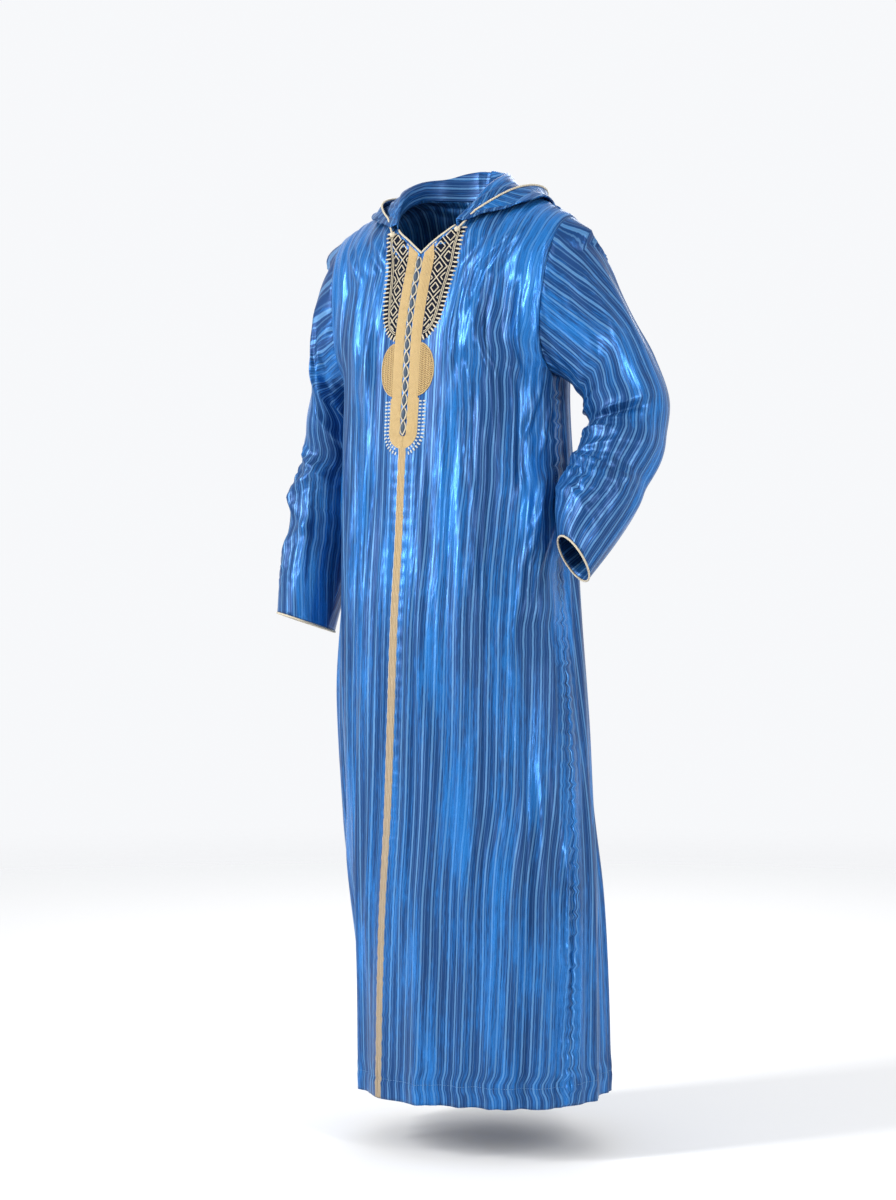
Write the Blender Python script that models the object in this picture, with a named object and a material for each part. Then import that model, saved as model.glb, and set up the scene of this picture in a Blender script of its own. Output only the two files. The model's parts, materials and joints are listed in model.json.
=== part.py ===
"""Hooded thobe in striped satin, laced and embroidered down the front.

Real size in metres, +Z up, front towards -Y, the wearer's left towards +X.
The origin is where the shoulders carry the cloth, in the middle of the neck.
"""
import math

import bmesh
import bpy
import numpy as np
from mathutils import Vector
from mathutils.bvhtree import BVHTree

# Cloth, seams and how finely the panels are divided
CLOTH = 0.0015
HALF_SEAM = 0.0002
LOWER_ROWS = 20
CHEST_ROWS = 5
NECK_ROWS = 5
KNOT_ROW = 2
BACK_NECK_ROWS = 3
UPPER_ROWS = CHEST_ROWS + NECK_ROWS
COLUMNS = 11
SLEEVE_RINGS = 22
HOOD_PROFILE = 11
HOOD_STEPS = 3
MITRE_LIMIT = 1.5
FINE_STEPS = 81

# Heights, measured from the shoulder line
HEM = -1.39
UNDERARM = -0.263
SHOULDER_TIP = -0.020
SHOULDER_CROWN = 0.010
SHIFT_FADE = 0.150

# Armhole, seen from the side
ARMHOLE_LOW_OUT = 0.186
ARMHOLE_TOP_OUT = 0.210
ARMHOLE_DEPTH = 0.073
UNDERARM_SQUARENESS = 2.2
SHOULDER_SQUARENESS = 1.2
SQUARENESS_HASTE = 1.1

# Body from hem to underarm, one row for each height
BODY_COLUMNS = ("height", "half_width", "half_depth", "squareness", "shift_side", "shift_back", "turn_deg")
BODY_SECTIONS = (
    (-1.390, 0.225, 0.202, 1.50, 0.032, 0.022, -22.0),
    (-1.220, 0.222, 0.202, 1.50, 0.027, 0.018, -18.0),
    (-1.080, 0.221, 0.197, 1.55, 0.018, 0.012, -13.0),
    (-0.950, 0.216, 0.187, 1.60, 0.008, 0.006, -8.0),
    (-0.800, 0.210, 0.178, 1.70, 0.002, 0.001, -5.0),
    (-0.630, 0.201, 0.163, 1.85, 0.000, -0.006, -4.0),
    (-0.530, 0.195, 0.154, 2.00, -0.001, -0.008, -3.0),
    (-0.390, 0.192, 0.149, 2.10, -0.002, -0.009, -1.0),
    (-0.263, 0.186, 0.143, 2.20, 0.000, -0.010, 0.0),
)

# Middle of the front and of the back above the underarm
MIDDLE_COLUMNS = ("height", "front", "back")
MIDDLE_LINE = (
    (-0.263, -0.143, 0.143),
    (-0.174, -0.1375, 0.1245),
    (-0.120, -0.127, 0.110),
    (-0.075, -0.112, 0.098),
    (0.030, -0.080, 0.066),
)

# Neckline of one half, from the foot of the V and from the nape to the shoulder: out, back, height
FRONT_NECKLINE = (
    (0.000, -0.112, -0.075),
    (0.027, -0.107, -0.053),
    (0.055, -0.095, -0.032),
    (0.072, -0.065, -0.008),
    (0.080, -0.028, 0.014),
    (0.080, 0.010, 0.030),
)
BACK_NECKLINE = (
    (0.000, 0.066, 0.030),
    (0.032, 0.060, 0.031),
    (0.060, 0.042, 0.032),
    (0.080, 0.010, 0.030),
)

# Largest folds of the body; around is 0 at the middle front, 0.5 at a side seam, 1 at the middle back
FOLD_COLUMNS = ("around", "drift", "top", "bottom", "width", "depth")
FOLD_END_SHARE = 0.25
FOLD_RISE_SHARE = 0.3
BODY_FOLDS = (
    (0.09, 0.03, -0.42, -1.45, 0.030, 0.009),
    (0.20, -0.01, -0.36, -1.10, 0.035, 0.010),
    (0.31, 0.02, -0.50, -1.45, 0.032, 0.012),
    (0.42, -0.03, -0.40, -0.72, 0.060, 0.016),
    (0.26, -0.10, -0.02, -0.34, 0.045, 0.010),
    (0.40, 0.02, -0.85, -1.45, 0.028, 0.010),
    (-0.10, -0.02, -0.40, -1.45, 0.030, 0.009),
    (-0.22, 0.01, -0.34, -1.20, 0.035, 0.010),
    (-0.33, -0.02, -0.55, -1.45, 0.032, 0.012),
    (-0.42, 0.02, -0.70, -1.45, 0.030, 0.010),
    (-0.27, 0.10, -0.02, -0.34, 0.045, 0.009),
    (0.60, 0.02, -0.30, -1.45, 0.035, 0.011),
    (0.74, -0.02, -0.34, -1.45, 0.035, 0.012),
    (0.90, 0.02, -0.40, -1.45, 0.035, 0.011),
    (-0.60, 0.02, -0.30, -1.45, 0.035, 0.011),
    (-0.75, -0.01, -0.36, -1.45, 0.035, 0.012),
    (-0.91, 0.01, -0.40, -1.45, 0.035, 0.011),
)

# Side seams: pocket slit and hem vent, how far each edge stands back from the seam
POCKET_TOP = -0.405
POCKET_FOOT = -0.580
POCKET_HALF_OPEN = {"left": 0.0060, "right": 0.0010}
POCKET_LIP = {"left": 0.0100, "right": 0.0020}
LIP_REACH = 0.10
VENT_TOP = -1.260
VENT_HALF_OPEN = 0.0014

# Sleeves: the line on the outer side of the arm, the line on its inner side, half the width in front
SLEEVE_COLUMNS = ("along", "outer_out", "outer_back", "outer_height",
                  "inner_out", "inner_back", "inner_height", "half_front")
BENT_SLEEVE = (
    (0.00, 0.210, 0.000, -0.020, 0.186, -0.010, -0.263, 0.073),
    (0.10, 0.245, 0.010, -0.070, 0.196, 0.003, -0.271, 0.072),
    (0.22, 0.273, 0.020, -0.126, 0.205, 0.012, -0.281, 0.070),
    (0.34, 0.299, 0.035, -0.185, 0.213, 0.020, -0.293, 0.067),
    (0.46, 0.325, 0.050, -0.243, 0.219, 0.028, -0.312, 0.064),
    (0.56, 0.344, 0.060, -0.305, 0.222, 0.030, -0.335, 0.062),
    (0.66, 0.343, 0.050, -0.363, 0.221, 0.018, -0.362, 0.060),
    (0.76, 0.337, 0.020, -0.423, 0.218, -0.005, -0.398, 0.060),
    (0.86, 0.331, -0.015, -0.471, 0.212, -0.035, -0.436, 0.058),
    (0.93, 0.316, -0.050, -0.520, 0.215, -0.062, -0.478, 0.054),
    (1.00, 0.291, -0.090, -0.579, 0.235, -0.090, -0.525, 0.045),
)
HANGING_SLEEVE = (
    (0.00, 0.210, 0.000, -0.020, 0.186, -0.010, -0.263, 0.073),
    (0.08, 0.232, 0.000, -0.060, 0.190, -0.006, -0.272, 0.074),
    (0.17, 0.242, 0.002, -0.105, 0.193, 0.000, -0.283, 0.075),
    (0.27, 0.246, 0.006, -0.160, 0.194, 0.005, -0.297, 0.076),
    (0.37, 0.256, 0.012, -0.220, 0.196, 0.010, -0.315, 0.076),
    (0.48, 0.272, 0.018, -0.290, 0.198, 0.014, -0.345, 0.075),
    (0.60, 0.295, 0.020, -0.370, 0.200, 0.014, -0.395, 0.074),
    (0.74, 0.311, 0.002, -0.465, 0.205, 0.000, -0.475, 0.071),
    (0.88, 0.317, -0.028, -0.562, 0.214, -0.028, -0.572, 0.066),
    (1.00, 0.314, -0.045, -0.640, 0.226, -0.047, -0.662, 0.058),
)
SEAM_FADE = 0.35
CUFF_FADE = 0.06
RING_STEP = 0.02
SLEEVE_ROOM = 0.006
HOOD_ROOM = 0.008
HOOD_ROOM_ROWS = 2.5
ROOM_FROM = 0.07
ROOM_REACH = 0.05

# Creases that run round a sleeve; facing is 0 on the outer side, 90 in front, 180 inside
CREASE_COLUMNS = ("along", "length", "facing", "spread", "depth")
SLEEVE_CREASES = {
    "left": (
        (0.50, 0.050, 190.0, 80.0, 0.010),
        (0.60, 0.040, 150.0, 70.0, -0.007),
        (0.70, 0.045, 60.0, 90.0, 0.005),
        (0.80, 0.040, 20.0, 90.0, -0.004),
        (0.88, 0.035, 200.0, 90.0, 0.005),
        (0.30, 0.060, 120.0, 70.0, 0.006),
    ),
    "right": (
        (0.50, 0.060, 60.0, 80.0, 0.006),
        (0.60, 0.050, 110.0, 80.0, -0.005),
        (0.70, 0.060, 40.0, 80.0, 0.006),
        (0.82, 0.050, 80.0, 90.0, -0.004),
        (0.32, 0.060, 100.0, 60.0, 0.005),
    ),
}

# Hood, folded down: seam on the neckline, ridge at the neck, gutter, outer turn and rim
HOOD_COLUMNS = ("round", "facing_deg", "ridge_out", "ridge_up", "gutter_out", "gutter_up",
                "turn_out", "turn_up", "rim_out", "rim_up")
HOOD_STATIONS = (
    (0.00, 95.0, 0.002, 0.006, 0.007, 0.003, 0.011, 0.002, 0.010, 0.008),
    (0.20, 84.0, 0.003, 0.024, 0.028, 0.006, 0.046, -0.004, 0.038, 0.016),
    (0.35, 84.0, 0.004, 0.030, 0.044, 0.002, 0.070, -0.010, 0.048, 0.016),
    (0.50, 98.0, 0.005, 0.032, 0.052, 0.000, 0.082, -0.016, 0.052, 0.012),
    (0.60, 114.0, 0.006, 0.032, 0.050, -0.018, 0.082, -0.030, 0.058, 0.012),
    (0.70, 132.0, 0.008, 0.032, 0.066, -0.064, 0.090, -0.072, 0.074, 0.008),
    (0.84, 158.0, 0.010, 0.034, 0.088, -0.170, 0.112, -0.176, 0.096, 0.000),
    (1.00, 180.0, 0.012, 0.036, 0.102, -0.270, 0.128, -0.280, 0.116, -0.008),
)

# Trims
PIPING_RADIUS = 0.0013
PIPING_DIP = 1.6
PIPING_END = 0.72
TRIM_GAP = 0.0008
IN_FRONT = -1.0
KNOT_RADIUS = 0.0055
KNOT_OUT = 0.060
KNOT_HEIGHT = -0.040
THREAD_RELIEF = 0.0012
LACE_FIRST = -0.092
LACE_PITCH = 0.0215
LACE_EYES = 13
LACE_RADIUS = 0.0009
LACE_SWING = 0.0052
LACE_STEPS = 4
EYE_HALF_WIDTH = 0.0030
EYE_HALF_HEIGHT = 0.0056
EYE_RELIEF = 0.0022
BEAD_SEGMENTS = 8
BEAD_RINGS = 6
BRAID_TOP = -0.384
BRAID_HALF_WIDTH = 0.0068
BRAID_RELIEF = 0.0018
BRAID_STEPS = 52
BRAID_HEM_GAP = 0.001

# Embroidered fields of one half, from the foot up: height, then both edges' distances from the middle line
FIELD_STEP = 0.013
BAND = (
    (-0.3810, 0.0006, 0.0060), (-0.3785, 0.0006, 0.0130), (-0.3740, 0.0006, 0.0190),
    (-0.3695, 0.0006, 0.0230), (-0.3655, 0.0085, 0.0242), (-0.3600, 0.0085, 0.0247),
    (-0.3040, 0.0085, 0.0247), (-0.3015, 0.0085, 0.0220), (-0.0720, 0.0085, 0.0220),
    (-0.0650, 0.0170, 0.0222), (-0.0620, 0.0200, 0.0222),
)
PLASTRON = (
    (-0.2140, 0.0235, 0.0250), (-0.2080, 0.0235, 0.0370), (-0.1960, 0.0235, 0.0480),
    (-0.1800, 0.0235, 0.0545), (-0.1550, 0.0235, 0.0585), (-0.1250, 0.0235, 0.0620),
    (-0.0980, 0.0235, 0.0655), (-0.0750, 0.0235, 0.0690), (-0.0630, 0.0240, 0.0710),
    (-0.0540, 0.0310, 0.0720),
)
ROUNDEL = (
    (-0.3005, 0.0235, 0.0250), (-0.2960, 0.0235, 0.0330), (-0.2860, 0.0235, 0.0420),
    (-0.2720, 0.0235, 0.0478), (-0.2590, 0.0235, 0.0490), (-0.2460, 0.0235, 0.0478),
    (-0.2320, 0.0235, 0.0420), (-0.2220, 0.0235, 0.0330), (-0.2175, 0.0235, 0.0250),
)
TEETH = (
    (-0.3960, 0.0095, 0.0163), (-0.3900, 0.0095, 0.0253), (-0.3840, 0.0142, 0.0306),
    (-0.3780, 0.0208, 0.0341), (-0.3720, 0.0243, 0.0364), (-0.3620, 0.0262, 0.0377),
    (-0.3040, 0.0262, 0.0377),
)
FIELDS = {
    "band": (BAND, 1, "gold"),
    "plastron": (PLASTRON, 4, "cream"),
    "roundel": (ROUNDEL, 2, "gold"),
    "teeth": (TEETH, 1, "cream"),
}

COLOURS = {
    "satin": (0.060, 0.160, 0.420),
    "cream": (0.800, 0.740, 0.600),
    "gold": (0.620, 0.450, 0.200),
    "slate": (0.110, 0.200, 0.300),
}
SATIN_ROUGHNESS = 0.38
THREAD_ROUGHNESS = 0.55


def clear_scene():
    """Removes every object that the file holds."""
    for old in list(bpy.data.objects):
        bpy.data.objects.remove(old, do_unlink=True)


def smooth_step(value):
    """0 below 0, 1 above 1 and a soft rise between."""
    value = min(max(value, 0.0), 1.0)
    return value * value * (3.0 - 2.0 * value)


def unit(vector):
    """The vector at length 1."""
    return vector / max(np.linalg.norm(vector), 1e-12)


def read_table(table, at):
    """Values at a place in a table whose first column is the place, on a smooth curve."""
    rows = np.array(table, dtype=float)
    places = rows[:, 0]
    at = min(max(at, places[0]), places[-1])
    slopes = np.gradient(rows, places, axis=0)
    first = min(int(np.searchsorted(places, at, side="right")) - 1, len(places) - 2)
    span = places[first + 1] - places[first]
    t = (at - places[first]) / span
    start = rows[first] * (2 * t ** 3 - 3 * t ** 2 + 1) + slopes[first] * span * (t ** 3 - 2 * t ** 2 + t)
    end = rows[first + 1] * (3 * t ** 2 - 2 * t ** 3) + slopes[first + 1] * span * (t ** 3 - t ** 2)
    return start + end


def body_section(height):
    """Row of the body table at a height, by column name."""
    return dict(zip(BODY_COLUMNS, read_table(BODY_SECTIONS, height)))


def armhole_point(half, fraction):
    """Point of the left armhole, from the underarm at 0 to the shoulder tip at 1."""
    swing = math.pi * fraction
    middle = 0.5 * (UNDERARM + SHOULDER_TIP)
    reach = 0.5 * (SHOULDER_TIP - UNDERARM)
    out = ARMHOLE_LOW_OUT + (ARMHOLE_TOP_OUT - ARMHOLE_LOW_OUT) * 0.5 * (1.0 - math.cos(swing))
    forward = -1.0 if half == "front" else 1.0
    return np.array((out, forward * ARMHOLE_DEPTH * math.sin(swing), middle - reach * math.cos(swing)))


def middle_point(half, row):
    """Point where a row starts: on the middle line, then along the neckline."""
    neckline = FRONT_NECKLINE if half == "front" else BACK_NECKLINE
    straight_rows = UPPER_ROWS - (len(neckline) - 1)
    upper = row - LOWER_ROWS
    if upper > straight_rows:
        return np.array(neckline[upper - straight_rows])
    height = UNDERARM + (neckline[0][2] - UNDERARM) * upper / straight_rows
    line = dict(zip(MIDDLE_COLUMNS, read_table(MIDDLE_LINE, height)))
    return np.array((0.0, line[half], height))


def row_ends(half, row):
    """Middle point, side point and squareness of one row of the left half."""
    if row <= LOWER_ROWS:
        height = HEM + (UNDERARM - HEM) * row / LOWER_ROWS
        section = body_section(height)
        forward = -1.0 if half == "front" else 1.0
        middle = np.array((0.0, forward * section["half_depth"], height))
        side = np.array((section["half_width"], 0.0, height))
        return middle, side, section["squareness"]
    fraction = (row - LOWER_ROWS) / UPPER_ROWS
    easing = smooth_step(fraction * SQUARENESS_HASTE)
    squareness = UNDERARM_SQUARENESS + (SHOULDER_SQUARENESS - UNDERARM_SQUARENESS) * easing
    return middle_point(half, row), armhole_point(half, fraction), squareness


def quarter_row(half, row):
    """Points of one row of the left half, evenly spaced along the cloth."""
    middle, side, squareness = row_ends(half, row)
    angles = np.linspace(0.0, 0.5 * math.pi, FINE_STEPS)
    across = np.sin(angles) ** (2.0 / squareness)
    along = 1.0 - np.clip(np.cos(angles), 0.0, 1.0) ** (2.0 / squareness)
    fine = np.stack([
        middle[0] + (side[0] - middle[0]) * across,
        middle[1] + (side[1] - middle[1]) * along,
        middle[2] + (side[2] - middle[2]) * across,
    ], axis=1)
    upper = max(row - LOWER_ROWS, 0) / UPPER_ROWS
    fine[:, 2] += SHOULDER_CROWN * upper ** 2 * np.sin(math.pi * across)
    steps = np.linalg.norm(np.diff(fine, axis=0), axis=1)
    travelled = np.concatenate([[0.0], np.cumsum(steps)])
    wanted = np.linspace(0.0, travelled[-1], COLUMNS + 1)
    return np.stack([np.interp(wanted, travelled, fine[:, k]) for k in range(3)], axis=1)


def turn_and_shift(points):
    """Turns and shifts the body sections as they are worn, point by point."""
    moved = points.copy()
    flat = moved.reshape(-1, 3)
    for point in flat:
        section = body_section(point[2])
        fade = 1.0 - smooth_step((point[2] - UNDERARM) / SHIFT_FADE)
        turn = math.radians(section["turn_deg"]) * fade
        x = point[0] * math.cos(turn) - point[1] * math.sin(turn)
        y = point[0] * math.sin(turn) + point[1] * math.cos(turn)
        point[0] = x + section["shift_side"] * fade
        point[1] = y + section["shift_back"] * fade
    return moved


def fold_height(around, height):
    """How far the folds lift the cloth at a place on the body."""
    lift = 0.0
    for row in BODY_FOLDS:
        fold = dict(zip(FOLD_COLUMNS, row))
        if height > fold["top"] or height < fold["bottom"]:
            continue
        travel = (fold["top"] - height) / (fold["top"] - fold["bottom"])
        fade = smooth_step(travel / FOLD_END_SHARE)
        if fold["bottom"] > HEM:
            fade *= smooth_step((1.0 - travel) / FOLD_END_SHARE)
        away = around - fold["around"] - fold["drift"] * travel
        away = ((away + 1.0) % 2.0 - 1.0) / fold["width"]
        lift += fold["depth"] * fade * math.exp(-away * away)
    return lift


def body_quarter(half, side):
    """Grid of one quarter of the body, rows from hem to shoulder, columns from the middle."""
    grid = np.array([quarter_row(half, row) for row in range(LOWER_ROWS + UPPER_ROWS + 1)])
    if side == "right":
        grid[:, :, 0] *= -1.0
    return turn_and_shift(grid)


def quarter_around(half, side, column):
    """Place round the body of one column of a quarter."""
    share = 0.5 * column / COLUMNS
    around = share if half == "front" else 1.0 - share
    return around if side == "left" else -around


def grid_triangles(shape, closed):
    """Triangles between the points of a grid, as rows of three point numbers."""
    rows, columns = shape
    span = columns if closed else columns - 1
    triangles = []
    for row in range(rows - 1):
        for column in range(span):
            after = (column + 1) % columns
            a = row * columns + column
            b = row * columns + after
            c = (row + 1) * columns + after
            d = (row + 1) * columns + column
            triangles.append((a, b, c))
            triangles.append((a, c, d))
    return triangles


def point_key(point):
    """Name of a place, the same for points that coincide."""
    return tuple(np.round(point, 6))


def shared_normals(groups):
    """Outward normals of the grids in each group, shared where grids meet.

    A grid is points, closed and sign. At a seam each group weighs the same, whatever its faces' sizes.
    """
    shared = {}
    for group in groups:
        sums = {}
        for points, closed, sign in group:
            flat = points.reshape(-1, 3)
            for a, b, c in grid_triangles(points.shape[:2], closed):
                normal = np.cross(flat[b] - flat[a], flat[c] - flat[a]) * sign
                for index in (a, b, c):
                    key = point_key(flat[index])
                    sums[key] = sums.get(key, 0.0) + normal
        for key, normal in sums.items():
            shared[key] = shared.get(key, 0.0) + unit(normal)
    return [np.array([[unit(shared[point_key(p)]) for p in row] for row in points])
            for group in groups for points, closed, sign in group]


def mitred(points, normals, closed, sign):
    """Normals made longer where a seam turns a corner, so the wall keeps its thickness."""
    flat = points.reshape(-1, 3)
    own = np.zeros_like(flat)
    for a, b, c in grid_triangles(points.shape[:2], closed):
        normal = np.cross(flat[b] - flat[a], flat[c] - flat[a]) * sign
        for index in (a, b, c):
            own[index] += normal
    lengths = np.array([np.dot(unit(own[k]), normals.reshape(-1, 3)[k]) for k in range(len(flat))])
    stretch = 1.0 / np.clip(lengths, 1.0 / MITRE_LIMIT, 1.0)
    return normals * stretch.reshape(normals.shape[:2] + (1,))


def drawn_in(points, normals, distance, edge, closed=False):
    """Shifts of one edge of a grid into its own cloth, square to the edge and to the shared normals."""
    across = edge.endswith("column")
    grid = points.transpose(1, 0, 2) if across else points
    facing = normals.transpose(1, 0, 2) if across else normals
    shifts = np.zeros_like(grid)
    first = edge.startswith("first")
    line, inside, outward = (grid[0], grid[1], facing[0]) if first else (grid[-1], grid[-2], facing[-1])
    count = len(line)
    for k in range(count):
        after = line[(k + 1) % count] if closed else line[min(k + 1, count - 1)]
        before = line[k - 1] if closed else line[max(k - 1, 0)]
        inward = inside[k] - line[k]
        for direction in (unit(after - before), unit(outward[k])):
            inward = inward - direction * np.dot(inward, direction)
        shifts[0 if first else -1, k] = unit(inward) * distance[k]
    return shifts.transpose(1, 0, 2) if across else shifts


def seam_shifts(points, normals, edges, closed=False):
    """Half a seam gap along each named edge; an edge may give its own distances."""
    shifts = np.zeros_like(points)
    for edge, distance in edges.items():
        count = points.shape[1] if edge.endswith("row") else points.shape[0]
        if distance is None:
            distance = np.full(count, HALF_SEAM)
        shifts += drawn_in(points, normals, distance, edge, closed)
    return shifts


def cloth_material(name, colour, roughness):
    """Principled material of one piece."""
    material = bpy.data.materials.new(name)
    material.use_nodes = True
    shader = material.node_tree.nodes["Principled BSDF"]
    shader.inputs["Base Color"].default_value = (*COLOURS[colour], 1.0)
    shader.inputs["Roughness"].default_value = roughness
    shader.inputs["Metallic"].default_value = 0.0
    return material


def add_object(name, mesh, colour, roughness):
    """Puts a mesh in the thobe's collection with its own material."""
    piece = bpy.data.objects.new(name, mesh)
    mesh.materials.append(cloth_material(name + "_finish", colour, roughness))
    bpy.data.collections["hooded_thobe"].objects.link(piece)
    return piece


def add_wall(name, patches, colour, roughness):
    """Closed solid of one or more patches that share edges; a patch is outer, inner, closed, sign."""
    numbers = {}
    outer_points = []
    inner_points = []
    faces = []
    for outer, inner, closed, sign in patches:
        flat_outer = outer.reshape(-1, 3)
        flat_inner = inner.reshape(-1, 3)
        for corners in grid_triangles(outer.shape[:2], closed):
            face = []
            for corner in corners:
                key = point_key(flat_outer[corner])
                if key not in numbers:
                    numbers[key] = len(outer_points)
                    outer_points.append(flat_outer[corner])
                    inner_points.append(flat_inner[corner])
                face.append(numbers[key])
            faces.append(tuple(face) if sign > 0.0 else tuple(reversed(face)))
    count = len(outer_points)
    sides = {(face[k], face[(k + 1) % 3]) for face in faces for k in range(3)}
    rims = [side for side in sorted(sides) if (side[1], side[0]) not in sides]
    walls = list(faces)
    walls += [(a + count, c + count, b + count) for a, b, c in faces]
    for a, b in rims:
        walls.append((b, a, a + count))
        walls.append((b, a + count, b + count))
    mesh = bpy.data.meshes.new(name)
    mesh.from_pydata([tuple(p) for p in outer_points + inner_points], [], walls)
    mesh.shade_smooth()
    return add_object(name, mesh, colour, roughness)


def add_cord(name, points, radius, cyclic, colour):
    """Round cord through a line of points."""
    curve = bpy.data.curves.new(name, "CURVE")
    curve.dimensions = "3D"
    curve.bevel_depth = radius
    curve.bevel_resolution = 1
    curve.use_fill_caps = True
    spline = curve.splines.new("POLY")
    spline.points.add(len(points) - 1)
    for target, point in zip(spline.points, points):
        target.co = (*point, 1.0)
    spline.use_cyclic_u = cyclic
    return add_object(name, curve, colour, THREAD_ROUGHNESS)


def add_bead(name, place, half_sizes, colour):
    """Rounded knot of thread."""
    mesh = bpy.data.meshes.new(name)
    shape = bmesh.new()
    bmesh.ops.create_uvsphere(shape, u_segments=BEAD_SEGMENTS, v_segments=BEAD_RINGS, radius=1.0)
    bmesh.ops.scale(shape, vec=Vector(half_sizes), verts=shape.verts)
    bmesh.ops.translate(shape, vec=Vector(place), verts=shape.verts)
    shape.to_mesh(mesh)
    shape.free()
    mesh.shade_smooth()
    return add_object(name, mesh, colour, THREAD_ROUGHNESS)


def kept_off(body_tree, point, room):
    """The point, moved out where it lies closer to the body's cloth than the room it needs."""
    place, normal, face, distance = body_tree.find_nearest(Vector(point))
    if distance > ROOM_REACH:
        return point
    height = float((Vector(point) - place).dot(normal))
    if height >= room:
        return point
    return point + np.array(normal) * (room - height)


def sleeve_frame(table, along):
    """Centre, outer and front half axes of the ring at a place along a sleeve."""
    def lines(place):
        row = dict(zip(SLEEVE_COLUMNS, read_table(table, min(max(place, 0.0), 1.0))))
        outer_line = np.array((row["outer_out"], row["outer_back"], row["outer_height"]))
        inner_line = np.array((row["inner_out"], row["inner_back"], row["inner_height"]))
        return outer_line, inner_line, row["half_front"]

    outer_point, inner_point, half_front = lines(along)
    ahead = sum(lines(along + RING_STEP)[:2])
    behind = sum(lines(along - RING_STEP)[:2])
    outer = 0.5 * (outer_point - inner_point)
    side = unit(outer)
    axis = ahead - behind
    axis = unit(axis - side * np.dot(axis, side))
    return 0.5 * (outer_point + inner_point), outer, np.cross(axis, side) * half_front


def crease_height(side, along, facing):
    """How far the creases lift a sleeve's cloth."""
    lift = 0.0
    for row in SLEEVE_CREASES[side]:
        crease = dict(zip(CREASE_COLUMNS, row))
        turn = ((facing - crease["facing"] + 180.0) % 360.0 - 180.0) / crease["spread"]
        away = (along - crease["along"]) / crease["length"]
        lift += crease["depth"] * math.exp(-away ** 2 - turn ** 2)
    return lift * smooth_step((1.0 - along) / CUFF_FADE)


def sleeve_grid(side, armhole, body_tree):
    """Rings of one sleeve from the armhole to the cuff, on the left; the armhole is its first ring."""
    table = BENT_SLEEVE if side == "left" else HANGING_SLEEVE
    mirror = np.array((1.0 if side == "left" else -1.0, 1.0, 1.0))
    seam = armhole * mirror
    count = len(seam)
    angles = [2.0 * math.pi * k / count for k in range(count)]

    def ring(along):
        centre, outer, front = sleeve_frame(table, along)
        points = []
        for angle in angles:
            lift = crease_height(side, along, math.degrees(angle))
            spoke = outer * math.cos(angle) + front * math.sin(angle)
            points.append(centre + spoke + unit(spoke) * lift)
        return np.array(points)

    first = ring(0.0)
    rings = [armhole]
    for step in range(1, SLEEVE_RINGS + 1):
        along = step / SLEEVE_RINGS
        fade = 1.0 - smooth_step(along / SEAM_FADE)
        points = (ring(along) + (seam - first) * fade) * mirror
        room = SLEEVE_ROOM * smooth_step(along / ROOM_FROM)
        rings.append(np.array([kept_off(body_tree, p, room) for p in points]))
    return np.array(rings)


def hood_half(seam):
    """Columns of the left half of the hood on the points of its seam, knot to nape."""
    lengths = np.linalg.norm(np.diff(seam, axis=0), axis=1)
    travelled = np.concatenate([[0.0], np.cumsum(lengths)])
    columns = []
    for point, place in zip(seam, travelled / travelled[-1]):
        row = dict(zip(HOOD_COLUMNS, read_table(HOOD_STATIONS, place)))
        facing = math.radians(row["facing_deg"])
        out = np.array((math.sin(facing), -math.cos(facing), 0.0))
        up = np.array((0.0, 0.0, 1.0))
        stations = [point]
        for name in ("ridge", "gutter", "turn", "rim"):
            stations.append(point + out * row[name + "_out"] + up * row[name + "_up"])
        places = np.arange(len(stations), dtype=float)
        table = np.column_stack([places, np.array(stations)])
        profile = [read_table(table, at)[1:] for at in np.linspace(0.0, places[-1], HOOD_PROFILE)]
        profile[0] = point
        columns.append(profile)
    return np.array(columns).transpose(1, 0, 2)


def divided(line, steps):
    """A line of points with each stretch cut into equal steps."""
    result = []
    for start, end in zip(line[:-1], line[1:]):
        for k in range(steps):
            result.append(start + (end - start) * k / steps)
    result.append(line[-1])
    return np.array(result)


def side_opening(height, side):
    """Half opening of the side seam at a height: pocket slit and hem vent."""
    opening = HALF_SEAM
    if POCKET_FOOT < height < POCKET_TOP:
        share = (height - POCKET_FOOT) / (POCKET_TOP - POCKET_FOOT)
        opening += POCKET_HALF_OPEN[side] * math.sin(math.pi * share)
    if height < VENT_TOP:
        opening += VENT_HALF_OPEN * smooth_step((VENT_TOP - height) / (VENT_TOP - HEM))
    return opening


def lip_height(side, around, height):
    """How far the front edge of a pocket slit stands out."""
    share = (height - POCKET_FOOT) / (POCKET_TOP - POCKET_FOOT)
    if share <= 0.0 or share >= 1.0:
        return 0.0
    near = smooth_step(1.0 - (0.5 - abs(around)) / LIP_REACH)
    return POCKET_LIP[side] * near * math.sin(math.pi * share)


def build_body():
    """Grids of the four quarters with their folds, and their outward normals."""
    names = [("front", "left"), ("front", "right"), ("back", "left"), ("back", "right")]
    signs = {("front", "left"): 1.0, ("front", "right"): -1.0, ("back", "left"): -1.0, ("back", "right"): 1.0}
    grids = {name: body_quarter(*name) for name in names}
    normals = shared_normals([[(grids[name], False, signs[name]) for name in names]])
    folded = {}
    for name, normal in zip(names, normals):
        grid = grids[name].copy()
        for row in range(grid.shape[0]):
            for column in range(grid.shape[1]):
                around = quarter_around(*name, column)
                height = grids[name][row, column, 2]
                lift = fold_height(around, height)
                flat = normal[row, column] * np.array((1.0, 1.0, FOLD_RISE_SHARE))
                grid[row, column] += flat * lift
        folded[name] = grid
    return folded, signs


def armhole_ring(body, side):
    """Points of one armhole: shoulder tip, down the front, underarm, up the back."""
    front = body[("front", side)][LOWER_ROWS:, -1]
    back = body[("back", side)][LOWER_ROWS:, -1]
    return np.concatenate([front[::-1], back[1:-1]])


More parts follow.
